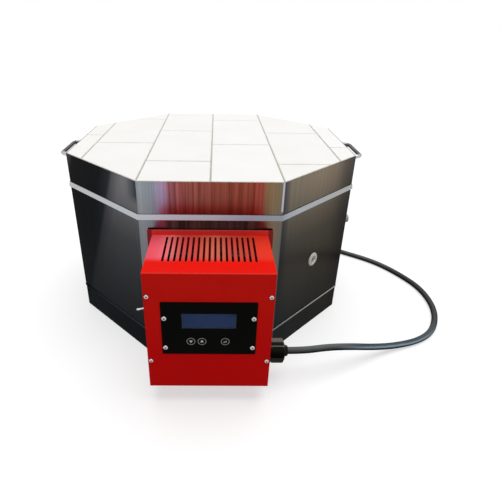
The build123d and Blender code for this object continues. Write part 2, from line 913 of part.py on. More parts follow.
with BuildPart() as control_cover:
    with BuildSketch(Plane.YZ) as fold:
        Polygon(
            (box_front_y, box_bottom),
            (box_front_y, box_top),
            (plate_front_y - box_sheet, box_top),
            (plate_front_y - box_sheet, box_top + lip_height),
            (plate_front_y, box_top + lip_height),
            (plate_front_y, box_top - box_sheet),
            (cover_inner_y, box_top - box_sheet),
            (cover_inner_y, box_bottom),
            align=None,
        )
    extrude(amount=box_width / 2, both=True)
    front_fold = control_cover.edges().filter_by(Axis.X).filter_by_position(
        Axis.Y, box_front_y - 0.01, box_front_y + 0.01
    )
    fillet(front_fold.sort_by(Axis.Z)[-1], box_fold)
    with BuildSketch(Plane.XY.offset(box_top)):
        with Locations((0, wall_face_y - slot_margin - slot_length / 2)):
            with GridLocations(slot_pitch, 0, slot_count, 1):
                SlotOverall(slot_length, slot_width, rotation=90)
    extrude(amount=-2 * box_sheet, mode=Mode.SUBTRACT)
    with BuildSketch(front_plane(box_front_y)):
        with Locations((0, window_z)):
            Rectangle(display_board[0] + 2 * button_slot_margin, display_board[1] + 2 * button_slot_margin)
        with Locations(((slot_left + slot_right) / 2, button_z)):
            Rectangle(slot_right - slot_left, 2 * (button_flange_radius + button_slot_margin))
    extrude(amount=-2 * box_sheet, mode=Mode.SUBTRACT)
    holes(box_front_y, cover_screw_places + panel_screw_places, screw_hole, 2 * box_sheet)
save(control_cover, "control_cover")

save(
    screws(
        box_front_y,
        cover_screw_places,
        screw_radius,
        screw_head_radius,
        screw_head,
        screw_length,
    ),
    "cover_screws",
)

# Front panel, display and buttons

panel_front_y = box_front_y - panel_sheet

with BuildPart() as front_panel:
    with BuildSketch(front_plane(box_front_y)):
        with Locations((0, box_bottom + panel_height)):
            RectangleRounded(*panel_size, panel_corner)
        with Locations((0, window_z)):
            Rectangle(*window_size, mode=Mode.SUBTRACT)
        with Locations(*[(x, button_z) for x in button_xs]):
            Circle(button_hole, mode=Mode.SUBTRACT)
        with Locations(*panel_screw_places):
            Circle(screw_hole, mode=Mode.SUBTRACT)
    extrude(amount=panel_sheet)
save(front_panel, "front_panel")

with BuildPart() as display_window:
    with BuildSketch(front_plane(box_front_y)):
        with Locations((0, window_z)):
            Rectangle(window_size[0] - 2 * window_gap, window_size[1] - 2 * window_gap)
    extrude(amount=panel_sheet)
save(display_window, "display_window")

display_front_y = box_front_y + display_gap
display_back_y = display_front_y + display_frame[2] + display_board[2]

with BuildPart() as display_module:
    with BuildSketch(front_plane(display_front_y + display_frame[2])):
        with Locations((0, window_z)):
            Rectangle(display_frame[0], display_frame[1])
    extrude(amount=display_frame[2])
    chamfer(display_module.faces().sort_by(Axis.Y)[0].edges(), 1)
    with BuildSketch(front_plane(display_back_y)):
        with Locations((0, window_z)):
            Rectangle(display_board[0], display_board[1])
    extrude(amount=display_board[2])
    with BuildSketch(front_plane(board_front_y)):
        with Locations((0, window_z + display_board[1] / 2 - display_pin_strip[1])):
            Rectangle(*display_pin_strip)
    extrude(amount=board_front_y - display_back_y)
save(display_module, "display_module")

with BuildPart() as controller_board:
    with BuildSketch(front_plane(board_front_y + board_size[2])):
        with Locations((0, box_bottom + board_height)):
            Rectangle(board_size[0], board_size[1])
        with Locations(*panel_screw_places):
            Circle(screw_hole, mode=Mode.SUBTRACT)
    extrude(amount=board_size[2])
save(controller_board, "controller_board")

with BuildPart() as board_standoffs:
    with BuildSketch(front_plane(board_front_y)):
        with Locations(*panel_screw_places):
            RegularPolygon(standoff_radius, 6)
            Circle(screw_radius + bolt_clearance, mode=Mode.SUBTRACT)
    extrude(amount=standoff_length)
save(board_standoffs, "board_standoffs")

with BuildPart() as board_nuts:
    with BuildSketch(front_plane(board_front_y + board_size[2] + board_nut)):
        with Locations(*panel_screw_places):
            RegularPolygon(board_nut_radius, 6)
            Circle(screw_radius + bolt_clearance, mode=Mode.SUBTRACT)
    extrude(amount=board_nut)
save(board_nuts, "board_nuts")

save(
    screws(
        panel_front_y,
        panel_screw_places,
        screw_radius,
        screw_head_radius,
        screw_head,
        panel_sheet + box_sheet + standoff_length + board_size[2] + board_nut,
    ),
    "panel_screws",
)

with BuildPart() as key_switches:
    with BuildSketch(front_plane(board_front_y)):
        with Locations(*[(x, button_z) for x in button_xs]):
            Rectangle(switch_size[0], switch_size[1])
    extrude(amount=switch_size[2])
    with BuildSketch(front_plane(board_front_y - switch_size[2])):
        with Locations(*[(x, button_z) for x in button_xs]):
            Circle(switch_plunger_radius)
    extrude(amount=switch_plunger)
save(key_switches, "key_switches")

plunger_tip_y = board_front_y - switch_size[2] - switch_plunger
flange_front_y = box_front_y + button_gap


def button(x):
    """A round key cap with a flange behind the panel and a stem to its switch."""
    with BuildPart() as key:
        with BuildSketch(front_plane(flange_front_y)):
            with Locations((x, button_z)):
                Circle(button_hole - button_clearance)
        extrude(amount=button_gap + panel_sheet + button_proud)
        chamfer(key.faces().sort_by(Axis.Y)[0].edges(), button_proud / 2)
        with BuildSketch(front_plane(flange_front_y)):
            with Locations((x, button_z)):
                Circle(button_flange_radius)
        extrude(amount=-button_flange)
        with BuildSketch(front_plane(flange_front_y + button_flange)):
            with Locations((x, button_z)):
                Circle(button_stem_radius)
        extrude(amount=-(plunger_tip_y - flange_front_y - button_flange - button_travel - stem_gap))
    return key


for name, x in button_places.items():
    save(button(x), name)

# Relay, power supply and terminal block on the back plate

relay_place = (relay_from_side - side_outer_x, box_top - relay_from_top)
supply_place = (side_outer_x - supply_from_side, box_top - supply_from_top)
terminal_place = (0, box_bottom + terminal_from_bottom)
save(block_on_plate(relay_size, relay_place, block_edge), "relay")
save(block_on_plate(supply_size, supply_place, block_edge), "power_supply")
save(block_on_plate(terminal_size, terminal_place, block_edge), "terminal_block")

# Toggle switch

left_outwards = Plane(origin=(-side_outer_x, toggle_y, toggle_z), x_dir=(0, 1, 0), z_dir=(-1, 0, 0))
toggle_mouth_x = -side_outer_x - toggle_bushing
toggle_pivot = (toggle_mouth_x + toggle_pivot_depth, toggle_y, toggle_z)

with BuildPart() as toggle_body:
    with BuildSketch(left_outwards.offset(-box_sheet)):
        Rectangle(toggle_body_size[1], toggle_body_size[2])
    extrude(amount=-toggle_body_size[0])
    with BuildSketch(left_outwards.offset(-box_sheet)):
        Circle(toggle_bushing_radius)
    extrude(amount=box_sheet + toggle_bushing)
    with BuildSketch(left_outwards.offset(toggle_bushing)):
        Circle(toggle_bore)
    extrude(amount=-2 * toggle_pivot_depth, mode=Mode.SUBTRACT)
save(toggle_body, "toggle_body")

with BuildPart() as toggle_hex_nut:
    with BuildSketch(left_outwards):
        RegularPolygon(toggle_nut_radius, 6)
        Circle(toggle_bushing_radius + bolt_clearance, mode=Mode.SUBTRACT)
    extrude(amount=toggle_nut)
save(toggle_hex_nut, "toggle_nut")

tilt = radians(toggle_tilt)
lever_plane = Plane(origin=toggle_pivot, x_dir=(0, 1, 0), z_dir=(-cos(tilt), 0, -sin(tilt)))

with BuildPart() as toggle_lever:
    with Locations(lever_plane):
        Sphere(toggle_ball)
        Cone(
            toggle_lever_base,
            toggle_lever_tip,
            toggle_lever_length - toggle_lever_tip,
            align=(Align.CENTER, Align.CENTER, Align.MIN),
        )
    with Locations(lever_plane.offset(toggle_lever_length - toggle_lever_tip)):
        Sphere(toggle_lever_tip)
save(toggle_lever, "toggle_lever")

# Cable gland

right_outwards = Plane(origin=(side_outer_x, gland_y, gland_z), x_dir=(0, 1, 0), z_dir=(1, 0, 0))
gland_mouth_x = side_outer_x + gland_flange + gland_nut_hex + gland_nut_dome
cord_bore = cord_radius + cord_bore_gap

with BuildPart() as gland_body:
    with BuildSketch(right_outwards):
        RegularPolygon(gland_flats / 2, 6, major_radius=False)
    extrude(amount=gland_flange)
    with BuildSketch(right_outwards.offset(-gland_thread)):
        Circle(gland_thread_radius)
    extrude(amount=gland_thread)
    with BuildSketch(right_outwards.offset(gland_flange)):
        Circle(gland_thread_radius)
    extrude(amount=fit_gap)
    with BuildSketch(right_outwards.offset(-gland_thread)):
        Circle(cord_bore)
    extrude(amount=gland_thread + gland_flange + fit_gap, mode=Mode.SUBTRACT)
save(gland_body, "gland_body")

with BuildPart() as gland_nut:
    with BuildSketch(right_outwards.offset(gland_flange + fit_gap)):
        RegularPolygon(gland_flats / 2, 6, major_radius=False)
    extrude(amount=gland_nut_hex - fit_gap)
    with BuildSketch(right_outwards.offset(gland_flange + gland_nut_hex)):
        Circle(gland_flats / 2)
    with BuildSketch(right_outwards.offset(gland_flange + gland_nut_hex + gland_nut_dome)):
        Circle(gland_mouth_radius)
    loft()
    with BuildSketch(right_outwards.offset(gland_flange + fit_gap)):
        Circle(gland_seal_radius + bolt_clearance)
    extrude(amount=gland_seal, mode=Mode.SUBTRACT)
    with BuildSketch(right_outwards.offset(gland_flange)):
        Circle(cord_bore)
    extrude(amount=gland_nut_hex + gland_nut_dome, mode=Mode.SUBTRACT)
save(gland_nut, "gland_nut")

with BuildPart() as gland_seal_ring:
    with BuildSketch(right_outwards.offset(gland_flange + fit_gap)):
        Circle(gland_seal_radius)
        Circle(cord_bore, mode=Mode.SUBTRACT)
    extrude(amount=gland_seal - fit_gap)
save(gland_seal_ring, "gland_seal")

with BuildPart() as gland_lock:
    with BuildSketch(right_outwards.offset(-box_sheet)):
        RegularPolygon(gland_locknut_flats / 2, 6, major_radius=False)
        Circle(gland_thread_radius + bolt_clearance, mode=Mode.SUBTRACT)
    extrude(amount=-gland_locknut)
save(gland_lock, "gland_locknut")

with BuildPart() as cable_tail:
    with BuildSketch(Plane(origin=(gland_mouth_x, gland_y, gland_z), z_dir=(-1, 0, 0))):
        Circle(cord_radius)
    extrude(amount=cable_tail_length)
save(cable_tail, "cable_tail")

# Supply cord: the stretch that lies free, from the gland to the coil behind the kiln

coil_start = radians(coil_start_angle)
coil_heading = (-sin(coil_start), cos(coil_start))
coil_entry = (
    coil_center[0] + coil_outer_radius * cos(coil_start) - coil_lead_in * coil_heading[0],
    coil_center[1] + coil_outer_radius * sin(coil_start) - coil_lead_in * coil_heading[1],
)
last_run = 40.0
cord_route = [
    (gland_mouth_x, gland_y, gland_z),
    (160, gland_y, gland_z),
    (204, -319, 53.5),
    (252, -301, 40),
    (302, -280, 21),
    (350, -262, 9),
    (400, -245, cord_radius),
    (438, -220, cord_radius),
    (463, -184, cord_radius),
    (480, -142, cord_radius),
    (486, -95, cord_radius),
    (481, -47, cord_radius),
    (462, -3, cord_radius),
    (438, 38, cord_radius),
    (410, 71, cord_radius),
    (377, 97, cord_radius),
    (345, 119, cord_radius),
    (314, 148, cord_radius),
    (287, 186, cord_radius),
    (266, 230, cord_radius),
    (250, 275, cord_radius),
    (238, 319, cord_radius),
    (coil_entry[0] - last_run * coil_heading[0], coil_entry[1] - last_run * coil_heading[1], cord_radius),
    (*coil_entry, cord_radius),
]


def bend_radii(route):
    """The largest radius for each corner of a route that its two runs allow."""
    points = [Vector(*point) for point in route]
    radii = []
    for before, corner, after in zip(points, points[1:], points[2:]):
        first, second = corner - before, after - corner
        half_turn = radians(first.get_angle(second)) / 2
        radii.append(arc_share * min(first.length, second.length) / tan(half_turn))
    return radii


cord_radii = bend_radii(cord_route)
print("cord bend radii, mm:", [round(r) for r in cord_radii])

with BuildPart() as cord_run:
    with BuildLine() as run_path:
        FilletPolyline(*cord_route, radius=cord_radii)
    with BuildSketch(Plane(origin=cord_route[0], z_dir=(1, 0, 0))):
        Circle(cord_radius)
    sweep(path=run_path.wires()[0])
run_length = run_path.wires()[0].length
run_share = cord_run.part.volume / (pi * cord_radius**2 * run_length)
print(f"cord run: {run_length:.0f} mm, volume over section times length {run_share:.4f}")
save(cord_run, "cord_run")

# The rest of the cord, coiled behind the kiln: in on the floor, then out on top

coil_turn = sum(coil_span_angles)
climb_start = sum(coil_span_angles[:coil_flat_span_count])
climb_end = sum(coil_span_angles[: coil_flat_span_count + coil_climb_span_count])


def coil_point(turned):
    """The centre of the cord after the coil has turned by that many degrees."""
    inward = min(turned, coil_turn - turned)
    radius = coil_outer_radius - coil_pitch * inward / 360
    climbed = min(max((turned - climb_start) / (climb_end - climb_start), 0), 1)
    rise = coil_layer_rise * climbed**2 * (3 - 2 * climbed)
    angle = coil_start + radians(turned)
    return Vector(
        coil_center[0] + radius * cos(angle),
        coil_center[1] + radius * sin(angle),
        cord_radius + rise,
    )


def coil_direction(turned):
    """The direction of the cord there, straight at both ends of the coil."""
    if turned in (0, coil_turn):
        angle = coil_start + radians(turned)
        return Vector(-sin(angle), cos(angle), 0)
    step = 0.5
    return (coil_point(turned + step) - coil_point(turned - step)).normalized()


def biarc_joint(start, start_direction, end, end_direction):
    """The point where two equal-reach arcs meet between two points with given directions."""
    chord = end - start
    both = start_direction + end_direction
    spread = 2 * (1 - start_direction.dot(end_direction))
    along = chord.dot(both)
    reach = (-along + sqrt(along**2 + spread * chord.dot(chord))) / spread
    return (start + end + (start_direction - end_direction) * reach) * 0.5


def coil_marks():
    """How far the coil has turned at the ends of each span."""
    marks = [0.0]
    for span in coil_span_angles:
        marks.append(marks[-1] + span)
    return marks


exit_turn = coil_start + radians(coil_turn)
tail_heading = Vector(-sin(exit_turn), cos(exit_turn), 0)

with BuildPart() as cord_coil:
    with BuildLine() as coil_path:
        Line(Vector(*coil_entry, cord_radius), coil_point(0))
        marks = coil_marks()
        for begin, end in zip(marks, marks[1:]):
            first, last = coil_point(begin), coil_point(end)
            first_direction, last_direction = coil_direction(begin), coil_direction(end)
            joint = biarc_joint(first, first_direction, last, last_direction)
            TangentArc(first, joint, tangent=first_direction)
            TangentArc(joint, last, tangent=-last_direction, tangent_from_first=False)
        Line(coil_point(coil_turn), coil_point(coil_turn) + tail_heading * coil_tail)
    with BuildSketch(Plane(origin=(*coil_entry, cord_radius), z_dir=(*coil_heading, 0))):
        Circle(cord_radius)
    sweep(path=coil_path.wires()[0])
coil_wire = coil_path.wires()[0]
coil_share = cord_coil.part.volume / (pi * cord_radius**2 * coil_wire.length)
print(f"cord coil: {coil_wire.length:.0f} mm, volume over section times length {coil_share:.4f}")


def least_gap(wire, radius, spacing):
    """The least gap of a wound tube to itself, measured on points along its path."""
    count = int(wire.length / spacing)
    points = [wire.position_at(i / count) for i in range(count + 1)]
    skip = int(6 * radius / spacing)
    least = min(
        (points[i] - points[j]).length for i in range(count + 1) for j in range(i + skip, count + 1)
    )
    return least - 2 * radius


print(f"coil's least gap to itself: {least_gap(coil_wire, cord_radius, 4.0):.2f} mm")
save(cord_coil, "cord_coil")

# Mains plug, lying on the floor at the height of the coil's second layer

tail_end = coil_point(coil_turn) + tail_heading * coil_tail
plug_axis_z = cord_radius + coil_layer_rise
plug_plane = Plane(origin=tail_end, x_dir=(-tail_heading.Y, tail_heading.X, 0), z_dir=tail_heading)
body_start = plug_boot_length
body_end = plug_boot_length + plug_body_length

with BuildPart() as mains_plug:
    with BuildSketch(Plane(origin=tail_end, x_dir=tail_heading, z_dir=tail_heading.cross(Vector(0, 0, 1)))):
        with BuildLine():
            Polyline(
                (0, 0),
                (0, plug_boot_radius),
                (body_start, plug_boot_radius + plug_boot_flare),
                (body_start + plug_shoulder, plug_axis_z - plug_edge),
                (body_start + plug_shoulder + plug_edge_length, plug_axis_z),
                (body_end - plug_nose_length, plug_axis_z),
                (body_end, plug_axis_z - plug_nose_taper),
                (body_end, 0),
                close=True,
            )
        make_face()
    revolve(axis=Axis(tail_end, tail_heading))
save(mains_plug, "mains_plug")

with BuildPart() as plug_pins:
    with BuildSketch(plug_plane.offset(body_end)):
        with Locations((-plug_pin_spacing / 2, 0), (plug_pin_spacing / 2, 0)):
            Circle(plug_pin_radius)
    extrude(amount=plug_pin_length)
    chamfer(plug_pins.faces().group_by(Axis(tail_end, tail_heading))[-1].edges(), plug_pin_radius / 2)
save(plug_pins, "plug_pins")
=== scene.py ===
"""The ceramic kiln dressed for its portrait: camera, light, finishes and fine detail.

Everything is in metres in the frame of the CAD model, but the marks of turned pieces are in
millimetres. Z is up, and the red control box faces -Y.
"""

from contextlib import contextmanager
from math import cos, pi, radians, sin, sqrt, tan

import bmesh
import bpy
from mathutils import Matrix, Vector


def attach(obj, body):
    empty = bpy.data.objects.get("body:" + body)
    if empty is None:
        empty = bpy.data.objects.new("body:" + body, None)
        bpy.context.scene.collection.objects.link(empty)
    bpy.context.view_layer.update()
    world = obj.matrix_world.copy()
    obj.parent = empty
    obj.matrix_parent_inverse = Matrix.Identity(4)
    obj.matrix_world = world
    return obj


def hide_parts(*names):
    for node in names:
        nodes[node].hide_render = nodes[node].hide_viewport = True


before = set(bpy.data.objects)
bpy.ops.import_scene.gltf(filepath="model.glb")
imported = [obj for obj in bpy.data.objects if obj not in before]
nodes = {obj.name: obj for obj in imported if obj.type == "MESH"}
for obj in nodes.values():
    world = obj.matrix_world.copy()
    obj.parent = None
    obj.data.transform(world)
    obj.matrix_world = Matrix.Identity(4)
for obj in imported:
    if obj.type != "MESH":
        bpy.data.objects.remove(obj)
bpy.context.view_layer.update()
bpy.ops.object.select_all(action="DESELECT")

# Sizes repeated from the CAD source
mm = 0.001
half_across = 0.2675
half_face = 0.115
corner_cut = half_across - half_face
corner_distance = half_across * sqrt(2) - corner_cut / sqrt(2)
brick_width = 0.115
lid_top = 0.334
lid_underside = 0.284
pan_top = 0.047
box_half_width = 0.094
box_front = -0.3915
box_top = 0.245
lip_top = 0.254
panel_front = -0.3925
display_height = 0.1635
key_front = -0.3931
key_height = 0.127
key_places = {"down": -0.027, "up": -0.0105, "enter": 0.0243}
key_radius = 0.0067
toggle_pivot = (-0.098, -0.335, 0.147)
peephole_height = 0.157
gland_place = (box_half_width, -0.333, 0.058)
row_levels = [0.088, 0.134, 0.180, 0.226]
cord_radius = 0.006
cover_screw_places = [(x, z) for x in (-0.089, 0.089) for z in (0.088, 0.206)]
panel_screw_places = [(x, z) for x in (-0.0656, 0.0656) for z in (0.115, 0.169)]

# Anything shorter counts as nothing
hair = 1e-6


def added(name, data):
    """A new object in the scene."""
    thing = bpy.data.objects.new(name, data)
    bpy.context.scene.collection.objects.link(thing)
    return thing


# Camera at the photograph's place

portrait = bpy.data.cameras.new("portrait")
portrait.sensor_width = 36
portrait.lens = 31.267
portrait.shift_x = 0.0610
portrait.shift_y = -0.00416
camera = added("camera", portrait)
camera.matrix_world = (
    Matrix.Translation((0.0082, -0.903, 0.5555))
    @ Matrix.Rotation(radians(-0.641), 4, "Z")
    @ Matrix.Rotation(radians(62.125), 4, "X")
    @ Matrix.Rotation(radians(0.746), 4, "Z")
)
bpy.context.scene.camera = camera
bpy.context.scene.view_settings.view_transform = "Standard"


# Finishes: one helper starts a finish, the others add what it needs

white = (1.0, 1.0, 1.0)


class Nodes:
    """The node tree of a material or a world, with nodes added by plain calls."""

    def __init__(self, owner):
        owner.use_nodes = True
        self.tree = owner.node_tree

    def add(self, kind, **settings):
        node = self.tree.nodes.new(kind)
        for key, value in settings.items():
            setattr(node, key, value)
        return node

    def join(self, source, socket):
        """Feeds a socket from another one, or sets it to a plain value."""
        if isinstance(source, bpy.types.NodeSocket):
            self.tree.links.new(source, socket)
        else:
            socket.default_value = source

    def maths(self, operation, *values):
        node = self.add("ShaderNodeMath", operation=operation)
        for value, socket in zip(values, node.inputs):
            self.join(value, socket)
        return node.outputs[0]

    def times(self, product, *values):
        for value in values:
            product = self.maths("MULTIPLY", product, value)
        return product

    def seen_directly(self):
        """1 for what the camera sees itself, in a reflection or through glass, 0 for lighting."""
        ray = self.add("ShaderNodeLightPath").outputs
        bounced = self.maths("MAXIMUM", ray["Is Glossy Ray"], ray["Is Transmission Ray"])
        return self.maths("MAXIMUM", ray["Is Camera Ray"], bounced)


class Finish(Nodes):
    """A material with its shader and its nodes, patterned on Object coordinates."""

    def __init__(self, name, roughness=0.5, metal=0.0, shine=0.5, **sockets):
        self.material = bpy.data.materials.new(name)
        super().__init__(self.material)
        self.shader = self.tree.nodes["Principled BSDF"]
        self.shader.inputs["Roughness"].default_value = roughness
        self.shader.inputs["Metallic"].default_value = metal
        self.shader.inputs["Specular IOR Level"].default_value = shine
        for socket, value in sockets.items():
            self.shader.inputs[socket.replace("_", " ")].default_value = value
        self.place = self.add("ShaderNodeTexCoord").outputs["Object"]
        self.normal = None

    def stretched(self, scale):
        """Object coordinates scaled along each axis, so a pattern can run along a sheet."""
        mapping = self.add("ShaderNodeMapping")
        self.join(self.place, mapping.inputs["Vector"])
        mapping.inputs["Scale"].default_value = scale
        return mapping.outputs["Vector"]

    def axis(self, letter):
        """One coordinate, in metres."""
        split = self.add("ShaderNodeSeparateXYZ")
        self.join(self.place, split.inputs[0])
        return split.outputs[letter]

    def noise(self, scale, detail=3.0, rough=0.55, stretch=(1, 1, 1)):
        node = self.add("ShaderNodeTexNoise")
        self.join(self.stretched(stretch), node.inputs["Vector"])
        node.inputs["Scale"].default_value = scale
        node.inputs["Detail"].default_value = detail
        node.inputs["Roughness"].default_value = rough
        return node.outputs["Fac"]

    def pits(self, scale):
        """Distance to scattered points: small round pores when it is cut low."""
        node = self.add("ShaderNodeTexVoronoi")
        self.join(self.stretched((1, 1, 1)), node.inputs["Vector"])
        node.inputs["Scale"].default_value = scale
        return node.outputs["Distance"]

    def fitted(self, value, low, high, to_low=0.0, to_high=1.0, smooth=False):
        """A value, or a coordinate named by its letter, carried to a range and held at its ends."""
        kind = "SMOOTHSTEP" if smooth else "LINEAR"
        node = self.add("ShaderNodeMapRange", interpolation_type=kind)
        value = self.axis(value) if isinstance(value, str) else value
        for socket, number in zip(node.inputs[:5], (value, low, high, to_low, to_high)):
            self.join(number, socket)
        return node.outputs["Result"]

    def within(self, *windows):
        """1 inside every window, and 0 outside any of them."""
        return self.times(*[self.fitted(*window) for window in windows])

    def ramp(self, value, *stops):
        """Colours along a value from 0 to 1: each stop is a place and a colour, or a grey."""
        node = self.add("ShaderNodeValToRGB")
        elements = node.color_ramp.elements
        elements.remove(elements[1])
        elements[0].position = stops[0][0]
        for place, *tone in stops[1:]:
            elements.new(place)
        for element, (place, *tone) in zip(elements, stops):
            element.color = (*(tone * (3 // len(tone))), 1)
        self.join(value, node.inputs["Fac"])
        return node.outputs["Color"]

    def tones(self, value, low, high, *stops):
        """Colours along a value or a coordinate, between two of its values."""
        shares = [((place - low) / (high - low), *tone) for place, *tone in stops]
        return self.ramp(self.fitted(value, low, high), *shares)

    def blend(self, share, first, second, way="MIX"):
        node = self.add("ShaderNodeMix", data_type="RGBA", blend_type=way)
        self.join(share, node.inputs["Factor"])
        for colour, socket in zip((first, second), (node.inputs["A"], node.inputs["B"])):
            if isinstance(colour, tuple):
                colour = (*colour, 1)
            self.join(colour, socket)
        return node.outputs["Result"]

    def shaded(self, colour, *shades):
        """A colour multiplied by others."""
        for shade in shades:
            colour = self.blend(1.0, colour, shade, "MULTIPLY")
        return colour

    def coloured(self, colour):
        self.join(colour, self.shader.inputs["Base Color"])
        return self

    def tinted(self, share, first, second):
        """Base colour between two colours."""
        return self.coloured(self.blend(share, first, second))

    def mottled(self, first, second, *noise):
        """Base colour that drifts between two colours with a noise."""
        return self.tinted(self.noise(*noise), first, second)

    def dulled(self, low, high, *noise):
        """Roughness that drifts between two values with a noise."""
        share = self.fitted(self.noise(*noise), 0, 1, low, high)
        self.join(share, self.shader.inputs["Roughness"])
        return self

    def raised(self, height, depth, strength=1.0):
        """Bump of a depth in metres. Calls add up."""
        bump = self.add("ShaderNodeBump")
        bump.inputs["Strength"].default_value = strength
        bump.inputs["Distance"].default_value = depth
        self.join(height, bump.inputs["Height"])
        if self.normal is not None:
            self.join(self.normal, bump.inputs["Normal"])
        self.normal = bump.outputs["Normal"]
        self.join(self.normal, self.shader.inputs["Normal"])
        return self

    def grained(self, depth, strength, *noise):
        """Bump from a noise."""
        return self.raised(self.noise(*noise), depth, strength)


# Stainless sheet: mirror-bright, so each front face carries painted reflections, the tones it would
# mirror painted into its colour

kiln_sides = (-half_across, half_across)
sheet_foot = 0.05
sheet_head = 0.325
streak_lean = 0.31
upright_level = 0.308
left_face_limit = -half_face - 0.0065
side_depth = 0.11

sheet = Finish("polished_stainless", metal=1.0, Specular_Tint=(0.5, 0.5, 0.5, 1))
sheet_x, sheet_z = sheet.axis("X"), sheet.axis("Z")

# On the left face the painted reflections lean, and stop short of the front face
left_of_front = sheet.maths("LESS_THAN", sheet_x, -half_face)
lean = sheet.maths("MULTIPLY_ADD", sheet_z, -streak_lean, streak_lean * upright_level)
leaning_x = sheet.maths("MULTIPLY_ADD", lean, left_of_front, sheet_x)
left_limit = sheet.fitted(left_of_front, 0, 1, 1, left_face_limit)
leaning_x = sheet.maths("MINIMUM", leaning_x, left_limit)
head_painted_reflection = sheet.tones(
    leaning_x,
    *kiln_sides,
    (-0.2675, 0.05, 0.05, 0.048), (-0.26, 0.015, 0.014, 0.014),
    (-0.195, 0.012, 0.013, 0.015), (-0.173, 0.028, 0.029, 0.034),
    (-0.1675, 0.09, 0.088, 0.1), (-0.15, 0.168, 0.163, 0.172),
    (-0.118, 0.175, 0.173, 0.18), (-0.115, 0.245, 0.272, 0.3),
    (-0.11, 0.3, 0.325, 0.35), (-0.092, 0.23, 0.255, 0.3),
    (-0.074, 0.37, 0.26, 0.42), (-0.062, 0.35, 0.12, 0.14),
    (-0.045, 0.34, 0.092, 0.085), (-0.02, 0.31, 0.09, 0.07),
    (0.015, 0.27, 0.07, 0.05), (0.045, 0.3, 0.072, 0.044),
    (0.064, 0.29, 0.072, 0.046), (0.068, 0.34, 0.062, 0.045),
    (0.083, 0.32, 0.075, 0.05), (0.087, 0.22, 0.13, 0.062),
    (0.108, 0.2, 0.145, 0.085), (0.1145, 0.18, 0.165, 0.14),
    (0.1165, 0.055, 0.058, 0.075), (0.129, 0.205, 0.172, 0.13),
    (0.19, 0.255, 0.205, 0.15), (0.225, 0.215, 0.172, 0.128),
    (0.245, 0.12, 0.1, 0.085), (0.2675, 0.072, 0.066, 0.062),
)
foot_painted_reflection = sheet.tones(
    leaning_x,
    *kiln_sides,
    (-0.2675, 0.01, 0.01, 0.01), (-0.176, 0.009, 0.01, 0.011),
    (-0.168, 0.017, 0.019, 0.021), (-0.118, 0.021, 0.023, 0.026),
    (-0.115, 0.15, 0.155, 0.16), (-0.098, 0.14, 0.14, 0.155),
    (-0.088, 0.09, 0.05, 0.085), (-0.07, 0.085, 0.044, 0.046),
    (0.09, 0.075, 0.034, 0.028), (0.101, 0.13, 0.11, 0.09),
    (0.1145, 0.12, 0.11, 0.095), (0.1165, 0.022, 0.024, 0.026),
    (0.15, 0.028, 0.029, 0.028), (0.24, 0.028, 0.026, 0.022),
    (0.2675, 0.02, 0.019, 0.017),
)
# Painted reflections: the foot's tones below, the head's above
rise = sheet.tones(
    "Z",
    sheet_foot,
    sheet_head,
    (0.050, 0.00), (0.100, 0.04), (0.157, 0.10), (0.220, 0.21), (0.255, 0.42), (0.290, 0.72),
    (0.308, 0.87), (0.325, 1.00),
)
front_painted_light = sheet.blend(rise, foot_painted_reflection, head_painted_reflection)

# The lid's front corners: painted shade on the left, a painted highlight on the right
lid_corner_painted_shade = sheet.times(left_of_front, sheet.within(("X", -0.136, -0.118), ("Z", 0.292, 0.308)))
front_painted_light = sheet.blend(lid_corner_painted_shade, front_painted_light, (0.050, 0.055, 0.066))
corner_painted_highlight = sheet.within(("X", 0.1120, 0.1132), ("X", 0.1160, 0.1152), ("Z", 0.283, 0.286))
front_painted_light = sheet.blend(corner_painted_highlight, front_painted_light, (0.46, 0.47, 0.50))

# The base pan is painted a little darker than the casing, and darker still on its left face:
# painted shade
pan_painted_shade = sheet.blend(left_of_front, (0.90, 0.93, 0.93), (0.56, 0.58, 0.60))
pan_painted_shade = sheet.blend(sheet.fitted("Z", 0.050, 0.044), white, pan_painted_shade)
front_painted_light = sheet.shaded(front_painted_light, pan_painted_shade)

# Behind the box the sheet carries painted reflection streaks, and between the strip and the box a
# dim painted reflection, less metallic
behind_box = sheet.within(("X", -0.080, -0.062), ("X", 0.088, 0.074))
painted_reflection_streaks = sheet.ramp(
    sheet.noise(1, 3, 0.7, (190, 190, 3)),
    (0.34, 0.5, 0.44, 0.44), (0.5, 0.84, 0.82, 0.8), (0.60, 1.0),
)
front_painted_light = sheet.shaded(front_painted_light, sheet.blend(behind_box, white, painted_reflection_streaks))
over_box = sheet.times(behind_box, sheet.fitted("Z", 0.2785, 0.2715))
over_box_painted_reflection = sheet.ramp(
    sheet.noise(1, 3, 0.6, (95, 1, 3)),
    (0.36, 0.05, 0.046, 0.046), (0.5, 0.1, 0.078, 0.07),
    (0.66, 0.165, 0.135, 0.115),
)
front_painted_light = sheet.blend(over_box, front_painted_light, over_box_painted_reflection)

# The sides and back: darker towards the bottom
round_the_back = sheet.blend(
    sheet.fitted("Z", 0.0, lid_top), (0.16, 0.165, 0.17), (0.36, 0.36, 0.36)
)
behind_front = sheet.fitted("Y", -half_face, side_depth - half_face)
in_front = sheet.maths("SUBTRACT", 1.0, behind_front)
streaks = sheet.noise(1, 4, 0.6, (420, 420, 5))
fine_lines = sheet.noise(1, 2, 0.5, (900, 900, 2))
brushed = sheet.blend(
    0.5,
    sheet.ramp(streaks, (0.30, 0.74), (0.70, 1.0)),
    sheet.ramp(fine_lines, (0.35, 0.80), (0.60, 1.0)),
)
sheet.coloured(sheet.shaded(sheet.blend(behind_front, front_painted_light, round_the_back), brushed))
over_box_metal_share = sheet.fitted(sheet.times(over_box, in_front), 0, 1, 1.0, 0.42)
sheet.join(over_box_metal_share, sheet.shader.inputs["Metallic"])
sheet.dulled(0.18, 0.28, 11, 3, 0.5).raised(streaks, 0.00002, 0.3)
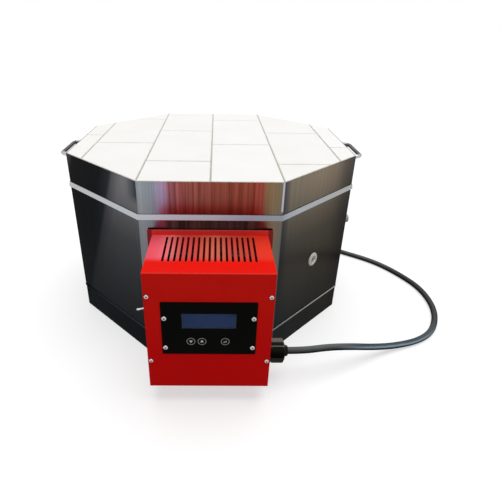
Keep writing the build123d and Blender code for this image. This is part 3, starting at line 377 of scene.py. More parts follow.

# The rim's tones are painted reflections: pale on the left, darkest by the right front corner
rim_steel = Finish("satin_steel", metal=0.9)
rim_steel.coloured(
    rim_steel.tones(
        "X",
        *kiln_sides,
        (-0.2675, 0.47, 0.48, 0.48), (-0.116, 0.46, 0.48, 0.51),
        (-0.05, 0.44, 0.45, 0.52), (0.01, 0.4, 0.4, 0.47),
        (0.05, 0.32, 0.33, 0.42), (0.09, 0.26, 0.28, 0.33),
        (0.115, 0.26, 0.28, 0.32), (0.125, 0.32, 0.34, 0.41),
        (0.145, 0.37, 0.39, 0.41), (0.2675, 0.37, 0.385, 0.37),
    )
)
rim_steel.dulled(0.28, 0.42, 60)

# The pan lip's tones are painted: painted shade on the left, a painted highlight brightening
# towards the right
lip_steel = Finish("pan_lip_steel", metal=1.0, Specular_Tint=(0.4, 0.4, 0.4, 1))
lip_steel.coloured(
    lip_steel.tones(
        "X",
        *kiln_sides,
        (-0.2675, 0.014), (-0.2, 0.042, 0.046, 0.052), (-0.1148, 0.042, 0.046, 0.052),
        (0.1148, 0.18), (0.15, 0.27, 0.27, 0.26), (0.2675, 0.46, 0.46, 0.45),
    )
)
lip_steel.dulled(0.24, 0.4, 80)


# Refractories


def firebrick(name):
    """White insulating brick: matt, full of small pores, a little warm in places."""
    brick = Finish(name, 0.92)
    pores = brick.fitted(brick.pits(420), 0.05, 0.22)
    strip = brick.times(brick.axis("X"), 1 / brick_width)
    shade = brick.add("ShaderNodeTexWhiteNoise", noise_dimensions="1D")
    brick.join(brick.maths("FLOOR", strip), shade.inputs["W"])
    body = brick.shaded(
        brick.ramp(brick.noise(14, 4), (0.3, 0.915, 0.912, 0.902), (0.7, 0.89, 0.882, 0.866)),
        brick.ramp(shade.outputs["Value"], (0.0, 0.975, 0.97, 0.96), (1.0, 1.0)),
        brick.ramp(pores, (0.0, 0.82, 0.80, 0.77), (0.5, 1.0)),
    )
    brick.grained(0.0002, 0.6, 900, 5, 0.7).raised(pores, 0.0004, 0.5)
    return brick, body


chamber_brick, brick_body = firebrick("white_firebrick")
chamber_brick.coloured(brick_body)

# The lid's bricks carry cement down their chamfered edges
lid_brick, brick_body = firebrick("lid_firebrick")
below_top = lid_brick.maths("SUBTRACT", lid_top, lid_brick.axis("Z"))
smeared = lid_brick.within(
    (below_top, 0.0002, 0.0006), (below_top, 0.0030, 0.0022), ("Y", -0.22, 0.20, 1.0, 0.45)
)
smear = lid_brick.ramp(lid_brick.noise(60), (0.35, 0.70, 0.69, 0.63), (0.65, 0.54, 0.53, 0.46))
lid_brick.tinted(smeared, brick_body, smear)

joint_cement = Finish("joint_cement", 0.95)
joint_cement.mottled((0.50, 0.48, 0.42), (0.34, 0.33, 0.28), 130).grained(0.0003, 1.0, 1500)

fibre = Finish("ceramic_fibre", 0.97, Sheen_Weight=0.3)
fibre.mottled((0.90, 0.90, 0.88), (0.78, 0.77, 0.74), 160, 6, 0.7, (1, 1, 3))
fibre.grained(0.0008, 1.0, 900, 6, 0.8, (1, 1, 4))

glazed_ceramic = Finish("hard_ceramic", 0.55)
glazed_ceramic.mottled((0.84, 0.82, 0.77), (0.72, 0.69, 0.62), 90).grained(0.0001, 0.6, 1400)

brown_ceramic = Finish("brown_ceramic", 0.6).mottled((0.18, 0.07, 0.055), (0.12, 0.045, 0.035), 90)

plug_clay = Finish("plug_clay", 0.8)
plug_clay.mottled((0.66, 0.63, 0.58), (0.44, 0.41, 0.36), 140).grained(0.0002, 1.0, 1300)

heating_wire = Finish("heating_wire", 0.55, 0.7)
heating_wire.mottled((0.36, 0.33, 0.31), (0.17, 0.14, 0.13), 120)


# Powder coat: the box's front, darker towards the bottom, a painted sheen on its top, painted light
# on its lip and a painted highlight along its fold

fold_line = 0.6351

red_coat = Finish("red_powder_coat", shine=0.05)
body_red = red_coat.shaded(
    red_coat.blend(red_coat.fitted("Z", 0.1, 0.22), (0.76, 0.0005, 0.0004), (0.82, 0.009, 0.004)),
    red_coat.ramp(red_coat.noise(25, 3), (0.3, 1.0), (0.7, 0.95, 0.9, 0.9)),
)
top_painted_sheen = red_coat.tones(
    "X",
    -box_half_width,
    box_half_width,
    (-0.094, 0.8, 0.085, 0.115), (-0.08, 0.84, 0.105, 0.145),
    (-0.07, 0.84, 0.15, 0.18), (-0.06, 0.76, 0.18, 0.18),
    (-0.052, 0.7, 0.12, 0.11), (-0.04, 0.62, 0.07, 0.065),
    (-0.02, 0.62, 0.072, 0.052), (-0.008, 0.62, 0.115, 0.07),
    (0.008, 0.62, 0.14, 0.09), (0.02, 0.58, 0.115, 0.075),
    (0.03, 0.6, 0.075, 0.055), (0.05, 0.58, 0.065, 0.042),
    (0.065, 0.64, 0.052, 0.028), (0.074, 0.78, 0.042, 0.02),
    (0.094, 0.8, 0.04, 0.018),
)
on_top = red_coat.times(
    red_coat.fitted("Z", box_top - 0.0006, box_top - 0.0001),
    red_coat.fitted("Y", -0.362, -0.344, smooth=True),
)
body_red = red_coat.blend(on_top, body_red, top_painted_sheen)
lip_painted_light = red_coat.tones(
    "Z",
    box_top,
    lip_top,
    (box_top, 0.98, 0.055, 0.03),
    ((box_top + lip_top) / 2, 0.95, 0.05, 0.04),
    (lip_top, 0.78, 0.09, 0.09),
)
on_lip = red_coat.fitted("Z", box_top + 0.0002, box_top + 0.0006)
body_red = red_coat.blend(on_lip, body_red, lip_painted_light)
fold = red_coat.maths("SUBTRACT", red_coat.axis("Z"), red_coat.axis("Y"))
fold_painted_highlight = red_coat.fitted(fold, fold_line, fold_line + 0.0005)
red_coat.tinted(fold_painted_highlight, body_red, (0.85, 0.10, 0.075))
red_coat.dulled(0.30, 0.42, 300).grained(0.00006, 0.5, 900, 3, 0.6)

# Inside, seen through the slots, the coat is painted far brighter: painted light that stands for
# the light that falls in
dark_red_coat = Finish("dark_red_coat", 0.42, shine=0.25)
dark_red = dark_red_coat.blend(dark_red_coat.noise(25), (0.4, 0.008, 0.006), (0.32, 0.005, 0.004))
from_middle = dark_red_coat.maths("ABSOLUTE", dark_red_coat.axis("X"))
inside_box_painted_light = dark_red_coat.within((from_middle, 0.090, 0.086), ("Z", 0.2445, 0.2435))
dark_red_coat.tinted(inside_box_painted_light, dark_red, (0.95, 0.020, 0.012))
dark_red_coat.grained(0.00006, 0.5, 900)


# Small metal

bright_screw = Finish("bright_screw", metal=1.0)
bright_screw.mottled((0.56, 0.56, 0.56), (0.36, 0.36, 0.37), 500).dulled(0.16, 0.3, 900)

# The cross recess is painted near black: painted shade
painted_shade_recess = Finish("painted_shade_recess", 0.5, 0.6).mottled((0.06, 0.06, 0.06), (0.03, 0.03, 0.03), 600)

# The power supply inside the box: zinc painted dark and reddish, painted shade
shaded_zinc = Finish("shaded_zinc", 0.6, 0.6)
shaded_zinc.mottled((0.130, 0.060, 0.058), (0.090, 0.036, 0.036), 90, 4)

zinc = Finish("zinc", metal=1.0)
zinc.mottled((0.68, 0.69, 0.70), (0.50, 0.51, 0.53), 160, 4).dulled(0.28, 0.48, 220)

# The handles are dark rod, with a painted highlight on their front bends
handle_steel = Finish("handle_steel", metal=1.0, Specular_Tint=(0.7, 0.7, 0.7, 1))
rod_tones = handle_steel.ramp(
    handle_steel.noise(1, 3, 0.5, (300, 30, 300)), (0.35, 0.20), (0.65, 0.11, 0.11, 0.115)
)
front_bend_painted_highlight = handle_steel.fitted("Y", -0.036, -0.047)
handle_steel.tinted(front_bend_painted_highlight, rod_tones, (0.50, 0.50, 0.49)).dulled(0.12, 0.24, 90)

brass = Finish("brass", metal=1.0)
brass.mottled((0.24, 0.12, 0.05), (0.14, 0.06, 0.025), 160).dulled(0.38, 0.55, 200)

pin_metal = Finish("pin_metal", metal=1.0)
pin_metal.mottled((0.72, 0.66, 0.52), (0.56, 0.50, 0.38), 1, 3, 0.5, (900, 900, 60))
pin_metal.dulled(0.18, 0.34, 260)

switch_chrome = Finish("switch_chrome", metal=1.0, Base_Color=(0.60, 0.60, 0.61, 1))
switch_chrome.dulled(0.08, 0.2, 300)


# Plastics, rubber and glass

panel_black = Finish("panel_black", shine=0.02)
panel_black.mottled((0.0012, 0.0012, 0.0010), (0.0030, 0.0030, 0.0026), 30)
panel_black.dulled(0.36, 0.5, 400)

print_grey = Finish("print_grey", 0.6).mottled((0.38, 0.38, 0.37), (0.26, 0.26, 0.25), 700)

print_white = Finish("print_white", 0.6).mottled((0.84, 0.84, 0.84), (0.70, 0.70, 0.70), 700)

key_black = Finish("key_black", shine=0.05)
key_black.mottled((0.002, 0.002, 0.002), (0.005, 0.005, 0.005), 200).dulled(0.34, 0.48, 700)

glass = Finish("display_glass", 0.0, shine=0.1, Transmission_Weight=1.0, IOR=1.1)
glass.mottled((0.89, 0.92, 1.0), (0.91, 0.94, 1.0), 60)

# The display: fine columns of a lit face, brighter at its head, in a dark frame
column_width = 0.0024
display_blue = Finish("display_blue", 0.6, shine=0.05)
column = display_blue.maths("PINGPONG", display_blue.axis("X"), column_width)
lit_face = display_blue.blend(
    display_blue.fitted(column, 0.0, 0.0003),
    display_blue.tones(
        "Z", 0.150, 0.177, (0.150, 0.011, 0.024, 0.066), (0.177, 0.018, 0.036, 0.094)
    ),
    (0.014, 0.030, 0.080),
)
from_middle_x = display_blue.maths("ABSOLUTE", display_blue.axis("X"))
above_middle = display_blue.maths("SUBTRACT", display_blue.axis("Z"), display_height)
from_middle_z = display_blue.maths("ABSOLUTE", above_middle)
frame_edge = display_blue.maths(
    "MAXIMUM",
    display_blue.fitted(from_middle_x, 0.0382, 0.0388),
    display_blue.fitted(from_middle_z, 0.0120, 0.0125),
)
display_blue.tinted(frame_edge, lit_face, (0.028, 0.040, 0.046))

circuit_green = Finish("circuit_board", 0.45)
tracks = circuit_green.fitted(circuit_green.noise(1, 2, 0.5, (900, 900, 120)), 0.5, 0.53)
circuit_green.tinted(tracks, (0.008, 0.085, 0.035), (0.016, 0.14, 0.06))

black_plastic = Finish("black_plastic", 0.4, shine=0.35)
black_plastic.mottled((0.006, 0.006, 0.007), (0.013, 0.013, 0.014), 80)
black_plastic.grained(0.00006, 0.6, 1200)

# The gland is black, with a painted highlight over its back half, whose top faces show from the
# front
gland_black = Finish("gland_black", shine=0.02)
gland_black.coloured(
    gland_black.tones(
        "Y",
        -0.353,
        -0.313,
        (-0.353, 0.001), (-0.3498, 0.003, 0.0033, 0.0028), (-0.3466, 0.012, 0.014, 0.011),
        (-0.335, 0.015, 0.016, 0.0135), (-0.3314, 0.18, 0.165, 0.145),
        (-0.313, 0.24, 0.22, 0.195),
    )
)
gland_black.dulled(0.40, 0.52, 260)

# The turned-off corners carry a painted highlight, from black low down to pale grey on top
gland_painted_highlight = Finish("gland_painted_highlight", 0.5, shine=0.05)
up_gland = gland_painted_highlight.fitted("Z", 0.054, 0.067)
gland_painted_highlight.tinted(up_gland, (0.002, 0.002, 0.002), (0.20, 0.20, 0.18))

# The terminal block inside the box: plastic painted dark and reddish, painted shade
grey_plastic = Finish("grey_plastic", 0.5).mottled((0.13, 0.08, 0.075), (0.09, 0.055, 0.05), 60)

seal_rubber = Finish("seal_rubber", 0.75).mottled((0.016, 0.016, 0.016), (0.03, 0.03, 0.03), 200)

# The cord's colour is painted light, by height over its own middle, which comes down to the floor
# at its front: painted shade underneath, lighter on top, half as bright past x 0.46, and a bluish
# painted highlight along the front run
cord_rubber = Finish("cord_rubber", shine=0.0)
grey_per_metre = 10
cord_middle = cord_rubber.blend(
    cord_rubber.fitted("Y", -0.21, -0.20),
    cord_rubber.tones(
        "X",
        0.15,
        0.40,
        *[
            (x, grey_per_metre * height)
            for x, height in (
                (0.150, 0.0580), (0.175, 0.0568), (0.204, 0.0528), (0.228, 0.0470),
                (0.252, 0.0393), (0.277, 0.0303), (0.302, 0.0218), (0.326, 0.0150),
                (0.350, 0.0101), (0.375, 0.0072), (0.400, 0.0060),
            )
        ],
    ),
    (grey_per_metre * cord_radius,) * 3,
)
up_cord = cord_rubber.fitted(
    cord_rubber.maths("MULTIPLY_ADD", cord_middle, -1 / grey_per_metre, cord_rubber.axis("Z")),
    -cord_radius,
    cord_radius,
)
cord_painted_light = cord_rubber.shaded(
    cord_rubber.ramp(
        up_cord,
        (0.15, 0.002, 0.003, 0.003), (0.4, 0.02, 0.022, 0.023),
        (0.65, 0.06, 0.066, 0.067), (0.88, 0.11, 0.118, 0.118),
        (1.0, 0.15, 0.158, 0.156),
    ),
    cord_rubber.blend(cord_rubber.fitted("X", 0.41, 0.46), white, (0.5, 0.5, 0.5)),
)
# The bluish painted highlight along the front run
front_run = cord_rubber.within(("Y", -0.19, -0.25), ("X", 0.22, 0.28))
front_painted_light = cord_rubber.ramp(
    up_cord,
    (0.2, 0.006, 0.013, 0.022), (0.52, 0.016, 0.034, 0.056),
    (0.62, 0.12, 0.18, 0.23), (0.72, 0.3, 0.38, 0.45),
    (0.84, 0.28, 0.35, 0.41), (0.92, 0.09, 0.11, 0.125),
    (1.0, 0.06, 0.078, 0.084),
)
cord_rubber.tinted(front_run, cord_painted_light, front_painted_light)
cord_rubber.dulled(0.45, 0.6, 150).grained(0.00005, 0.5, 1300)

plug_rubber = Finish("plug_rubber", 0.5).mottled((0.010, 0.010, 0.011), (0.018, 0.018, 0.020), 60)
plug_rubber.grained(0.00008, 0.6, 1300)

nodes_of_finish = {
    sheet: "base_pan body_casing lid_band casing_seam_strip lid_seam_strip",
    rim_steel: "body_rim",
    lid_brick: "lid_bricks",
    chamber_brick: "wall_bricks floor_bricks",
    joint_cement: "lid_cement",
    fibre: "lid_gasket insulation_blanket",
    glazed_ceramic: "thermocouple_sheath peephole_sleeve_side peephole_sleeve_corner",
    brown_ceramic: "tail_insulators thermocouple_block",
    plug_clay: "peephole_plug_side peephole_plug_corner",
    heating_wire: "heating_element",
    red_coat: "control_cover",
    dark_red_coat: "control_back_plate control_chassis",
    bright_screw: "cover_screws panel_screws casing_rivets lid_rivets",
    zinc: "plate_spacers mounting_bolts mounting_nuts chassis_screws handle_bolts"
    " board_standoffs board_nuts",
    handle_steel: "lid_handle_left lid_handle_right",
    brass: "tail_clamps",
    pin_metal: "plug_pins",
    panel_black: "front_panel",
    key_black: "button_down button_up button_enter",
    glass: "display_window",
    display_blue: "display_module",
    circuit_green: "controller_board",
    black_plastic: "key_switches relay gland_locknut toggle_body",
    gland_black: "gland_body gland_nut",
    shaded_zinc: "power_supply",
    grey_plastic: "terminal_block",
    switch_chrome: "toggle_nut toggle_lever",
    seal_rubber: "gland_seal",
    cord_rubber: "cable_tail cord_run cord_coil",
    plug_rubber: "mains_plug",
}
for finish, names in nodes_of_finish.items():
    for name in names.split():
        nodes[name].data.materials.clear()
        nodes[name].data.materials.append(finish.material)


# How the added pieces are shaped: by hand, with one helper for each habit


def alone(piece):
    bpy.ops.object.select_all(action="DESELECT")
    piece.select_set(True)
    bpy.context.view_layer.objects.active = piece


def settled(piece):
    """Puts a piece's place, turn and size into its mesh."""
    alone(piece)
    bpy.ops.object.transform_apply(location=True, rotation=True, scale=True)
    return piece


def moved(piece, shift):
    piece.location = shift
    return settled(piece)


def primitive(kind, name, **settings):
    """A primitive at its size and place, to be shaped further."""
    bpy.ops.object.select_all(action="DESELECT")
    getattr(bpy.ops.mesh, f"primitive_{kind}_add")(**settings)
    bpy.context.object.name = name
    return settled(bpy.context.object)


@contextmanager
def shaping(piece, mode="FACE", selected="DESELECT"):
    """Edit mode on one piece, with nothing or all selected. Faces end up pointing outwards."""
    alone(piece)
    bpy.ops.object.mode_set(mode="EDIT")
    bpy.ops.mesh.select_mode(type=mode)
    bpy.ops.mesh.select_all(action=selected)
    yield
    bpy.ops.mesh.select_all(action="SELECT")
    bpy.ops.mesh.normals_make_consistent(inside=False)
    bpy.ops.object.mode_set(mode="OBJECT")


def pick(piece, test, kind="faces"):
    """Selects the faces or edges that pass a test, and nothing else."""
    bpy.ops.mesh.select_all(action="DESELECT")
    mesh = bmesh.from_edit_mesh(piece.data)
    for part in getattr(mesh, kind):
        part.select_set(test(part))
    bmesh.update_edit_mesh(piece.data)


def extruded(*way):
    """Extrudes what is selected by a vector."""
    bpy.ops.mesh.extrude_region_move(TRANSFORM_OT_translate={"value": way})


def turned(name, sides, *marks, start_turn=0.0):
    """A piece turned about Z: marks are (height, radius) in mm from its foot to its tip."""
    (height, radius), *others = marks
    piece = primitive(
        "circle",
        name,
        vertices=sides,
        radius=radius * mm,
        fill_type="NGON",
        location=(0, 0, height * mm),
        rotation=(0, 0, start_turn),
    )
    with shaping(piece, selected="SELECT"):
        for next_height, next_radius in others:
            extruded(0, 0, (next_height - height) * mm)
            ratio = next_radius / radius
            level = (0, 0, next_height * mm)
            bpy.ops.transform.resize(value=(ratio, ratio, 1), center_override=level)
            height, radius = next_height, next_radius
    return piece


def laid(piece, place, along):
    """Lays a turned piece with its foot at a place and its axis along a direction."""
    piece.rotation_mode = "QUATERNION"
    piece.rotation_quaternion = Vector(along).to_track_quat("Z", "Y")
    return moved(piece, place)


def apply_modifiers(piece):
    alone(piece)
    for modifier in list(piece.modifiers):
        bpy.ops.object.modifier_apply(modifier=modifier.name)


def combined(piece, tool, way):
    """Joins, cuts or intersects a piece with a tool, and takes the tool away."""
    modifier = piece.modifiers.new("combine", "BOOLEAN")
    modifier.operation = way
    modifier.solver = "EXACT"
    modifier.object = tool
    apply_modifiers(piece)
    bpy.data.objects.remove(tool)
    return piece


def rounded(piece, width):
    """Breaks the sharp edges of a piece."""
    modifier = piece.modifiers.new("edges", "BEVEL")
    modifier.width = width
    modifier.segments = 2
    modifier.limit_method = "ANGLE"
    modifier.angle_limit = radians(30)
    apply_modifiers(piece)


def smooth(piece, angle=35):
    alone(piece)
    bpy.ops.object.shade_smooth_by_angle(angle=radians(angle))
    return piece


def joined(piece, other):
    alone(piece)
    other.select_set(True)
    bpy.ops.object.join()
    return piece


def repeated(first, name, places):
    """A piece and its copies, each with its own mesh, at (x, z) places that start with its own."""
    group = [first]
    for i, (x, z) in enumerate(places[1:], 2):
        twin = added(f"{name}_{i}", first.data.copy())
        group.append(moved(twin, (x - places[0][0], 0, z - places[0][1])))
    return group


def off_axis(face):
    """How far the middle of a face of an upright piece is from the piece's axis."""
    return face.calc_center_median().xy.length


def two_tone(piece, main, second, test):
    """Gives a piece a finish, and another one on the faces that pass a test."""
    piece.data.materials.append(main.material)
    piece.data.materials.append(second.material)
    with shaping(piece):
        pick(piece, test)
        piece.active_material_index = 1
        bpy.ops.object.material_slot_assign()


def finished(piece, finish, body, slot, *stands_for):
    """Gives a piece its finish, unless it has one, and its body. The slot in the record is not
    used.
    """
    if not piece.data.materials:
        piece.data.materials.append(finish.material)
    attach(piece, body)
    if stands_for:
        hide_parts(*stands_for)


# Pan head screws with a cross recess: four on the cover, four on the panel


def in_recess(face):
    """Whether a face of an upright screw lies below the dome of its head."""
    return 0 < face.calc_center_median().z < 0.0021 and off_axis(face) < 0.0023


def pan_head_screws(name, places, y, length, head, node):
    """A set of screws: the length of their shanks and the radius of their heads are in mm."""
    screw = turned(
        f"{name}_1", 32,
        (-length, 1.4), (-length + 0.8, 2.0), (0.0, 2.0), (0.0, head), (1.1, head),
        (1.7, head - 0.4), (2.1, head - 1.1), (2.4, head - 2.2),
    )
    for turn in (0, pi / 2):
        wing = primitive(
            "cube",
            "wing",
            size=1,
            scale=(1.25 * head * mm, 0.0012, 0.0026),
            location=(0, 0, 0.0024),
        )
        with shaping(wing):
            pick(wing, lambda face: face.normal.z < -0.9)
            bpy.ops.transform.resize(value=(0.5, 0.7, 1), center_override=(0, 0, 0.0011))
        wing.rotation_euler = (0, 0, turn + radians(20))
        combined(screw, settled(wing), "DIFFERENCE")
    two_tone(screw, bright_screw, painted_shade_recess, in_recess)
    laid(smooth(screw), (places[0][0], y, places[0][1]), (0, -1, 0))
    for screw in repeated(screw, name, places):
        finished(screw, bright_screw, "kiln", "bright_screws", node)


pan_head_screws("cover_screw", cover_screw_places, box_front, 8, 3.4, "cover_screws")
pan_head_screws("panel_screw", panel_screw_places, panel_front, 19, 3.8, "panel_screws")


# Key caps: a printed ring and a mark on each

print_depth = 0.0001
ring_width = 0.0009


def printed(name, sides, radius, x, z, turn=0.0):
    """A thin printed shape on a key cap, facing -Y."""
    return primitive(
        "circle",
        name,
        vertices=sides,
        radius=radius,
        fill_type="NGON",
        location=(x, key_front, z),
        rotation=(pi / 2, turn, 0),
    )


def thickened(piece):
    with shaping(piece, selected="SELECT"):
        extruded(0, -print_depth, 0)
    return piece


for key, x in key_places.items():
    ring = printed(f"key_ring_{key}", 48, key_radius - 0.0002, x, key_height)
    with shaping(ring, selected="SELECT"):
        bpy.ops.mesh.inset(thickness=ring_width)
        pick(ring, lambda face: len(face.verts) > 4)
        bpy.ops.mesh.delete(type="FACE")
    finished(thickened(ring), print_grey, f"{key}_key", "button_grey")

for key, turn in (("up", 0.0), ("down", pi)):
    arrow = printed(f"key_mark_{key}", 3, 0.0030, key_places[key], key_height, turn)
    finished(thickened(arrow), print_white, f"{key}_key", "button_grey")

# A bar whose right end is turned up, and an arrow head on its left
enter_x = key_places["enter"]
bar_place = (enter_x + 0.0003, key_front, key_height - 0.0008)
hook = primitive("plane", "key_mark_enter", size=1, location=bar_place, rotation=(pi / 2, 0, 0))


def along_top_right(edge):
    """Whether an edge of the bar is the one that its turned-up end grows from."""
    first, last = (vert.co for vert in edge.verts)
    middle = (first + last) / 2
    at_end = middle.x > enter_x + 0.0014 and middle.z > key_height - 0.0005
    return at_end and abs(first.z - last.z) < hair


with shaping(hook, "EDGE", "SELECT"):
    bpy.ops.transform.resize(value=(0.0034, 1, 0.0007), center_override=bar_place)
    cut = (enter_x + 0.0013, key_front, key_height)
    bpy.ops.mesh.bisect(plane_co=cut, plane_no=(1, 0, 0), use_fill=False)
    pick(hook, along_top_right, "edges")
    extruded(0, 0, 0.0022)
hook_head = printed("hook_head", 3, 0.0014, enter_x - 0.0016, bar_place[2], -pi / 2)
finished(thickened(joined(hook, hook_head)), print_white, "enter_key", "button_grey")


# Toggle switch: its threaded bushing, proud of the nut, and its lever

thread_pitch = 0.9
lever_slope = radians(13)

thread_turns = [
    (2.6 + thread_pitch * (i + half / 2), 5.9 + 0.3 * half) for i in range(4) for half in (0, 1)
]
thread = turned("toggle_thread", 40, (2.6, 5.9), *thread_turns, (6.7, 5.9), (7.1, 5.5))
combined(thread, turned("thread_bore", 40, (0, 3.4), (10, 3.4)), "DIFFERENCE")
laid(smooth(thread), (-box_half_width, *toggle_pivot[1:]), (-1, 0, 0))
finished(thread, switch_chrome, "kiln", "switch_metal")

toggle_lever = turned(
    "toggle_bat", 28,
    (-2.6, 0.6), (-2.2, 1.5), (-1.2, 2.3), (0.0, 2.6), (1.2, 2.3), (2.2, 1.6), (3.4, 1.3),
    (7.0, 1.2), (12.5, 1.5), (15.2, 1.8), (17.2, 1.8), (18.4, 1.4), (19.0, 0.7),
)
laid(smooth(toggle_lever), toggle_pivot, (-cos(lever_slope), 0, -sin(lever_slope)))
finished(toggle_lever, switch_chrome, "toggle", "switch_metal", "toggle_lever")


# Peepholes: a ceramic sleeve with worn lips, and the plug that closes it


def peephole_sleeve(name, place, facing, node):
    sleeve = turned(
        name, 72,
        (-77, 12.2), (-75, 13.0), (0.4, 13.0), (1.3, 12.7), (2.0, 12.1), (2.4, 11.3),
        (2.5, 10.4),
    )
    bore = turned("bore", 72, (-80, 7.0), (1.0, 7.0), (2.1, 7.4), (3.0, 8.6))
    combined(sleeve, bore, "DIFFERENCE")
    laid(smooth(sleeve), place, facing)
    finished(sleeve, glazed_ceramic, "kiln", "hard_ceramic", node)


corner_facing = Vector((sqrt(0.5), -sqrt(0.5), 0))
corner_peephole = corner_facing * corner_distance + Vector((0, 0, peephole_height))
side_peephole = (half_across, 0, peephole_height)
peephole_sleeve("corner_sleeve", corner_peephole, corner_facing, "peephole_sleeve_corner")
peephole_sleeve("side_sleeve", side_peephole, (1, 0, 0), "peephole_sleeve_side")

corner_plug = turned(
    "corner_plug", 56, (-59, 5.0), (-58.2, 5.5), (0, 6.3), (0.7, 6.1), (1.0, 5.6)
)
hook_hole = turned("hook_hole", 32, (-11.5, 1.0), (-10.5, 2.5), (0.6, 2.5), (1.6, 3.4))
combined(corner_plug, hook_hole, "DIFFERENCE")
laid(smooth(corner_plug), corner_peephole, corner_facing)
finished(corner_plug, plug_clay, "corner_plug", "plug_ceramic", "peephole_plug_corner")

side_plug = turned(
    "side_plug", 56,
    (-47.5, 4.8), (-46.5, 5.5), (2.0, 6.6), (2.7, 6.8), (2.7, 7.6), (3.4, 8.0), (11.0, 7.8),
    (20.0, 8.0), (30.0, 8.7), (37.0, 9.1), (39.5, 9.0), (40.8, 8.4), (41.4, 7.4), (41.0, 5.0),
    (40.6, 2.0),
)
laid(smooth(side_plug), side_peephole, (1, 0, 0))
finished(side_plug, plug_clay, "side_plug", "plug_ceramic", "peephole_plug_side")


# Cable gland: two hexagons with turned corners, a shoulder and a neck for the cord, in mm

hex_radius = 36.8 / sqrt(3)
corner_reach = 20.85
corner_break = 1.2
cord_bore = 6.4


def hexagon_bar(name, foot, tip):
    """A hexagonal bar whose corners are turned off at both ends."""
    bar = turned(name, 6, (foot, hex_radius), (tip, hex_radius), start_turn=pi / 2)
    barrel = turned(
        "barrel", 72,
        (foot, corner_reach - corner_break), (foot + corner_break, corner_reach),
        (tip - corner_break, corner_reach), (tip, corner_reach - corner_break),
    )
    return combined(bar, barrel, "INTERSECT")


def at_corner(face):
    """Whether a face of an upright gland piece was turned off a corner of its hexagon."""
    return off_axis(face) > (corner_reach - 1.4) * mm


def gland_piece(piece, addition, node):
    """Adds to a bar, bores it, paints a highlight on its corners and sets it on the side of the
    box.
    """
    combined(piece, addition, "UNION")
    combined(piece, turned("bore", 40, (-20, cord_bore), (50, cord_bore)), "DIFFERENCE")
    two_tone(piece, gland_black, gland_painted_highlight, at_corner)
    laid(smooth(piece), gland_place, (1, 0, 0))
    finished(piece, gland_black, "kiln", "black_plastic", node)


gland_base = hexagon_bar("gland_base", 0, 8.6)
gland_thread = turned("gland_thread", 48, (-13, 11.5), (-12, 12.4), (9, 12.4))
gland_piece(gland_base, gland_thread, "gland_body")

gland_cap = hexagon_bar("gland_cap", 9.6, 29.8)
shoulder = turned(
    "shoulder", 60,
    (28.6, 17.6), (30.4, 17.2), (31.4, 16.0), (31.7, 12.0), (32.0, 10.2), (36.6, 9.2),
    (37.8, 8.2),
)
gland_piece(gland_cap, shoulder, "gland_nut")


# Lip of the base pan: a thin folded edge that stands a little proud of the casing


def octagon_band(name, inset, width, bottom, top):
    """A ring with the kiln's outline: inset is where it starts, width how far it goes in."""
    across = 2 * (half_across - inset)
    middle = (0, 0, (bottom + top) / 2)
    size = (across, across, top - bottom)
    ring = primitive("cube", name, size=1, scale=size, location=middle)
    with shaping(ring, "EDGE"):
        pick(ring, lambda edge: abs(edge.verts[0].co.z - edge.verts[1].co.z) > hair, "edges")
        bpy.ops.mesh.bevel(offset=corner_cut - inset * (1 - tan(radians(22.5))), segments=1)
    with shaping(ring):
        pick(ring, lambda face: abs(face.normal.z) > 0.9)
        bpy.ops.mesh.inset(thickness=width, use_even_offset=True)
        bpy.ops.mesh.bridge_edge_loops()
    return ring


pan_lip = octagon_band("pan_lip", -0.0010, 0.0009, pan_top + 0.0008, pan_top + 0.0040)
rounded(pan_lip, 0.0003)
finished(smooth(pan_lip), lip_steel, "kiln", "stainless")


# Fibre gasket under the lid: torn felt, never quite flat

gasket = octagon_band("fibre_gasket", 0.013, 0.060, lid_underside - 0.0024, lid_underside)
with shaping(gasket, selected="SELECT"):
    bpy.ops.mesh.subdivide(number_cuts=24)
lumps = bpy.data.textures.new("felt_lumps", "CLOUDS")
lumps.noise_scale = 0.012
felt = gasket.modifiers.new("felt", "DISPLACE")
felt.texture = lumps
felt.texture_coords = "LOCAL"
felt.mid_level = 1.0
felt.strength = 0.0009
apply_modifiers(gasket)
finished(smooth(gasket, 60), fibre, "lid", "ceramic_fibre", "lid_gasket")


# Heating element: a coil of wire in each groove, and twisted pairs that link and feed them

ring_inset = 0.0688
corner_bend = 0.012
coil_radius = 0.0045
coil_pitch = 0.0045
coil_steps = 8
coil_wire = 0.0009
link_side = 0.015
link_reach = 0.002
pair_wire = 0.0012
pair_lay = 0.012
pair_steps = 12
tail_tip = -0.294


def line(name, marks, radius, kind="POLY", **settings):
    """A round line through marks, still a curve."""
    curve = bpy.data.curves.new(name, "CURVE")
    curve.dimensions = "3D"
    curve.bevel_depth = radius
    curve.use_fill_caps = True
    for key, value in settings.items():
        setattr(curve, key, value)
    spline = curve.splines.new(kind)
    spline.points.add(len(marks) - 1)
    for point, mark in zip(spline.points, marks):
        point.co = (*mark, 1)
    return added(name, curve)


def wire(name, marks, radius):
    """Round wire bent through marks."""
    alone(line(name, marks, radius, bevel_resolution=1))
    bpy.ops.object.convert(target="MESH")
    piece = bpy.context.object
    with shaping(piece, selected="SELECT"):
        bpy.ops.mesh.remove_doubles(threshold=0.00001)
    return piece


def ring_side(side):
    """How far a side of a row is from the middle, less its bends, and how long it runs straight."""
    shrunk = ring_inset + corner_bend
    less = 2 * shrunk * tan(radians(22.5))
    if side % 2:
        return corner_distance - shrunk, sqrt(2) * corner_cut - less
    return half_across - shrunk, 2 * half_face - less


ring_bend = corner_bend * radians(45)
ring_length = 8 * ring_bend + sum(ring_side(side)[1] for side in range(8))
ring_front = ring_inset - half_across


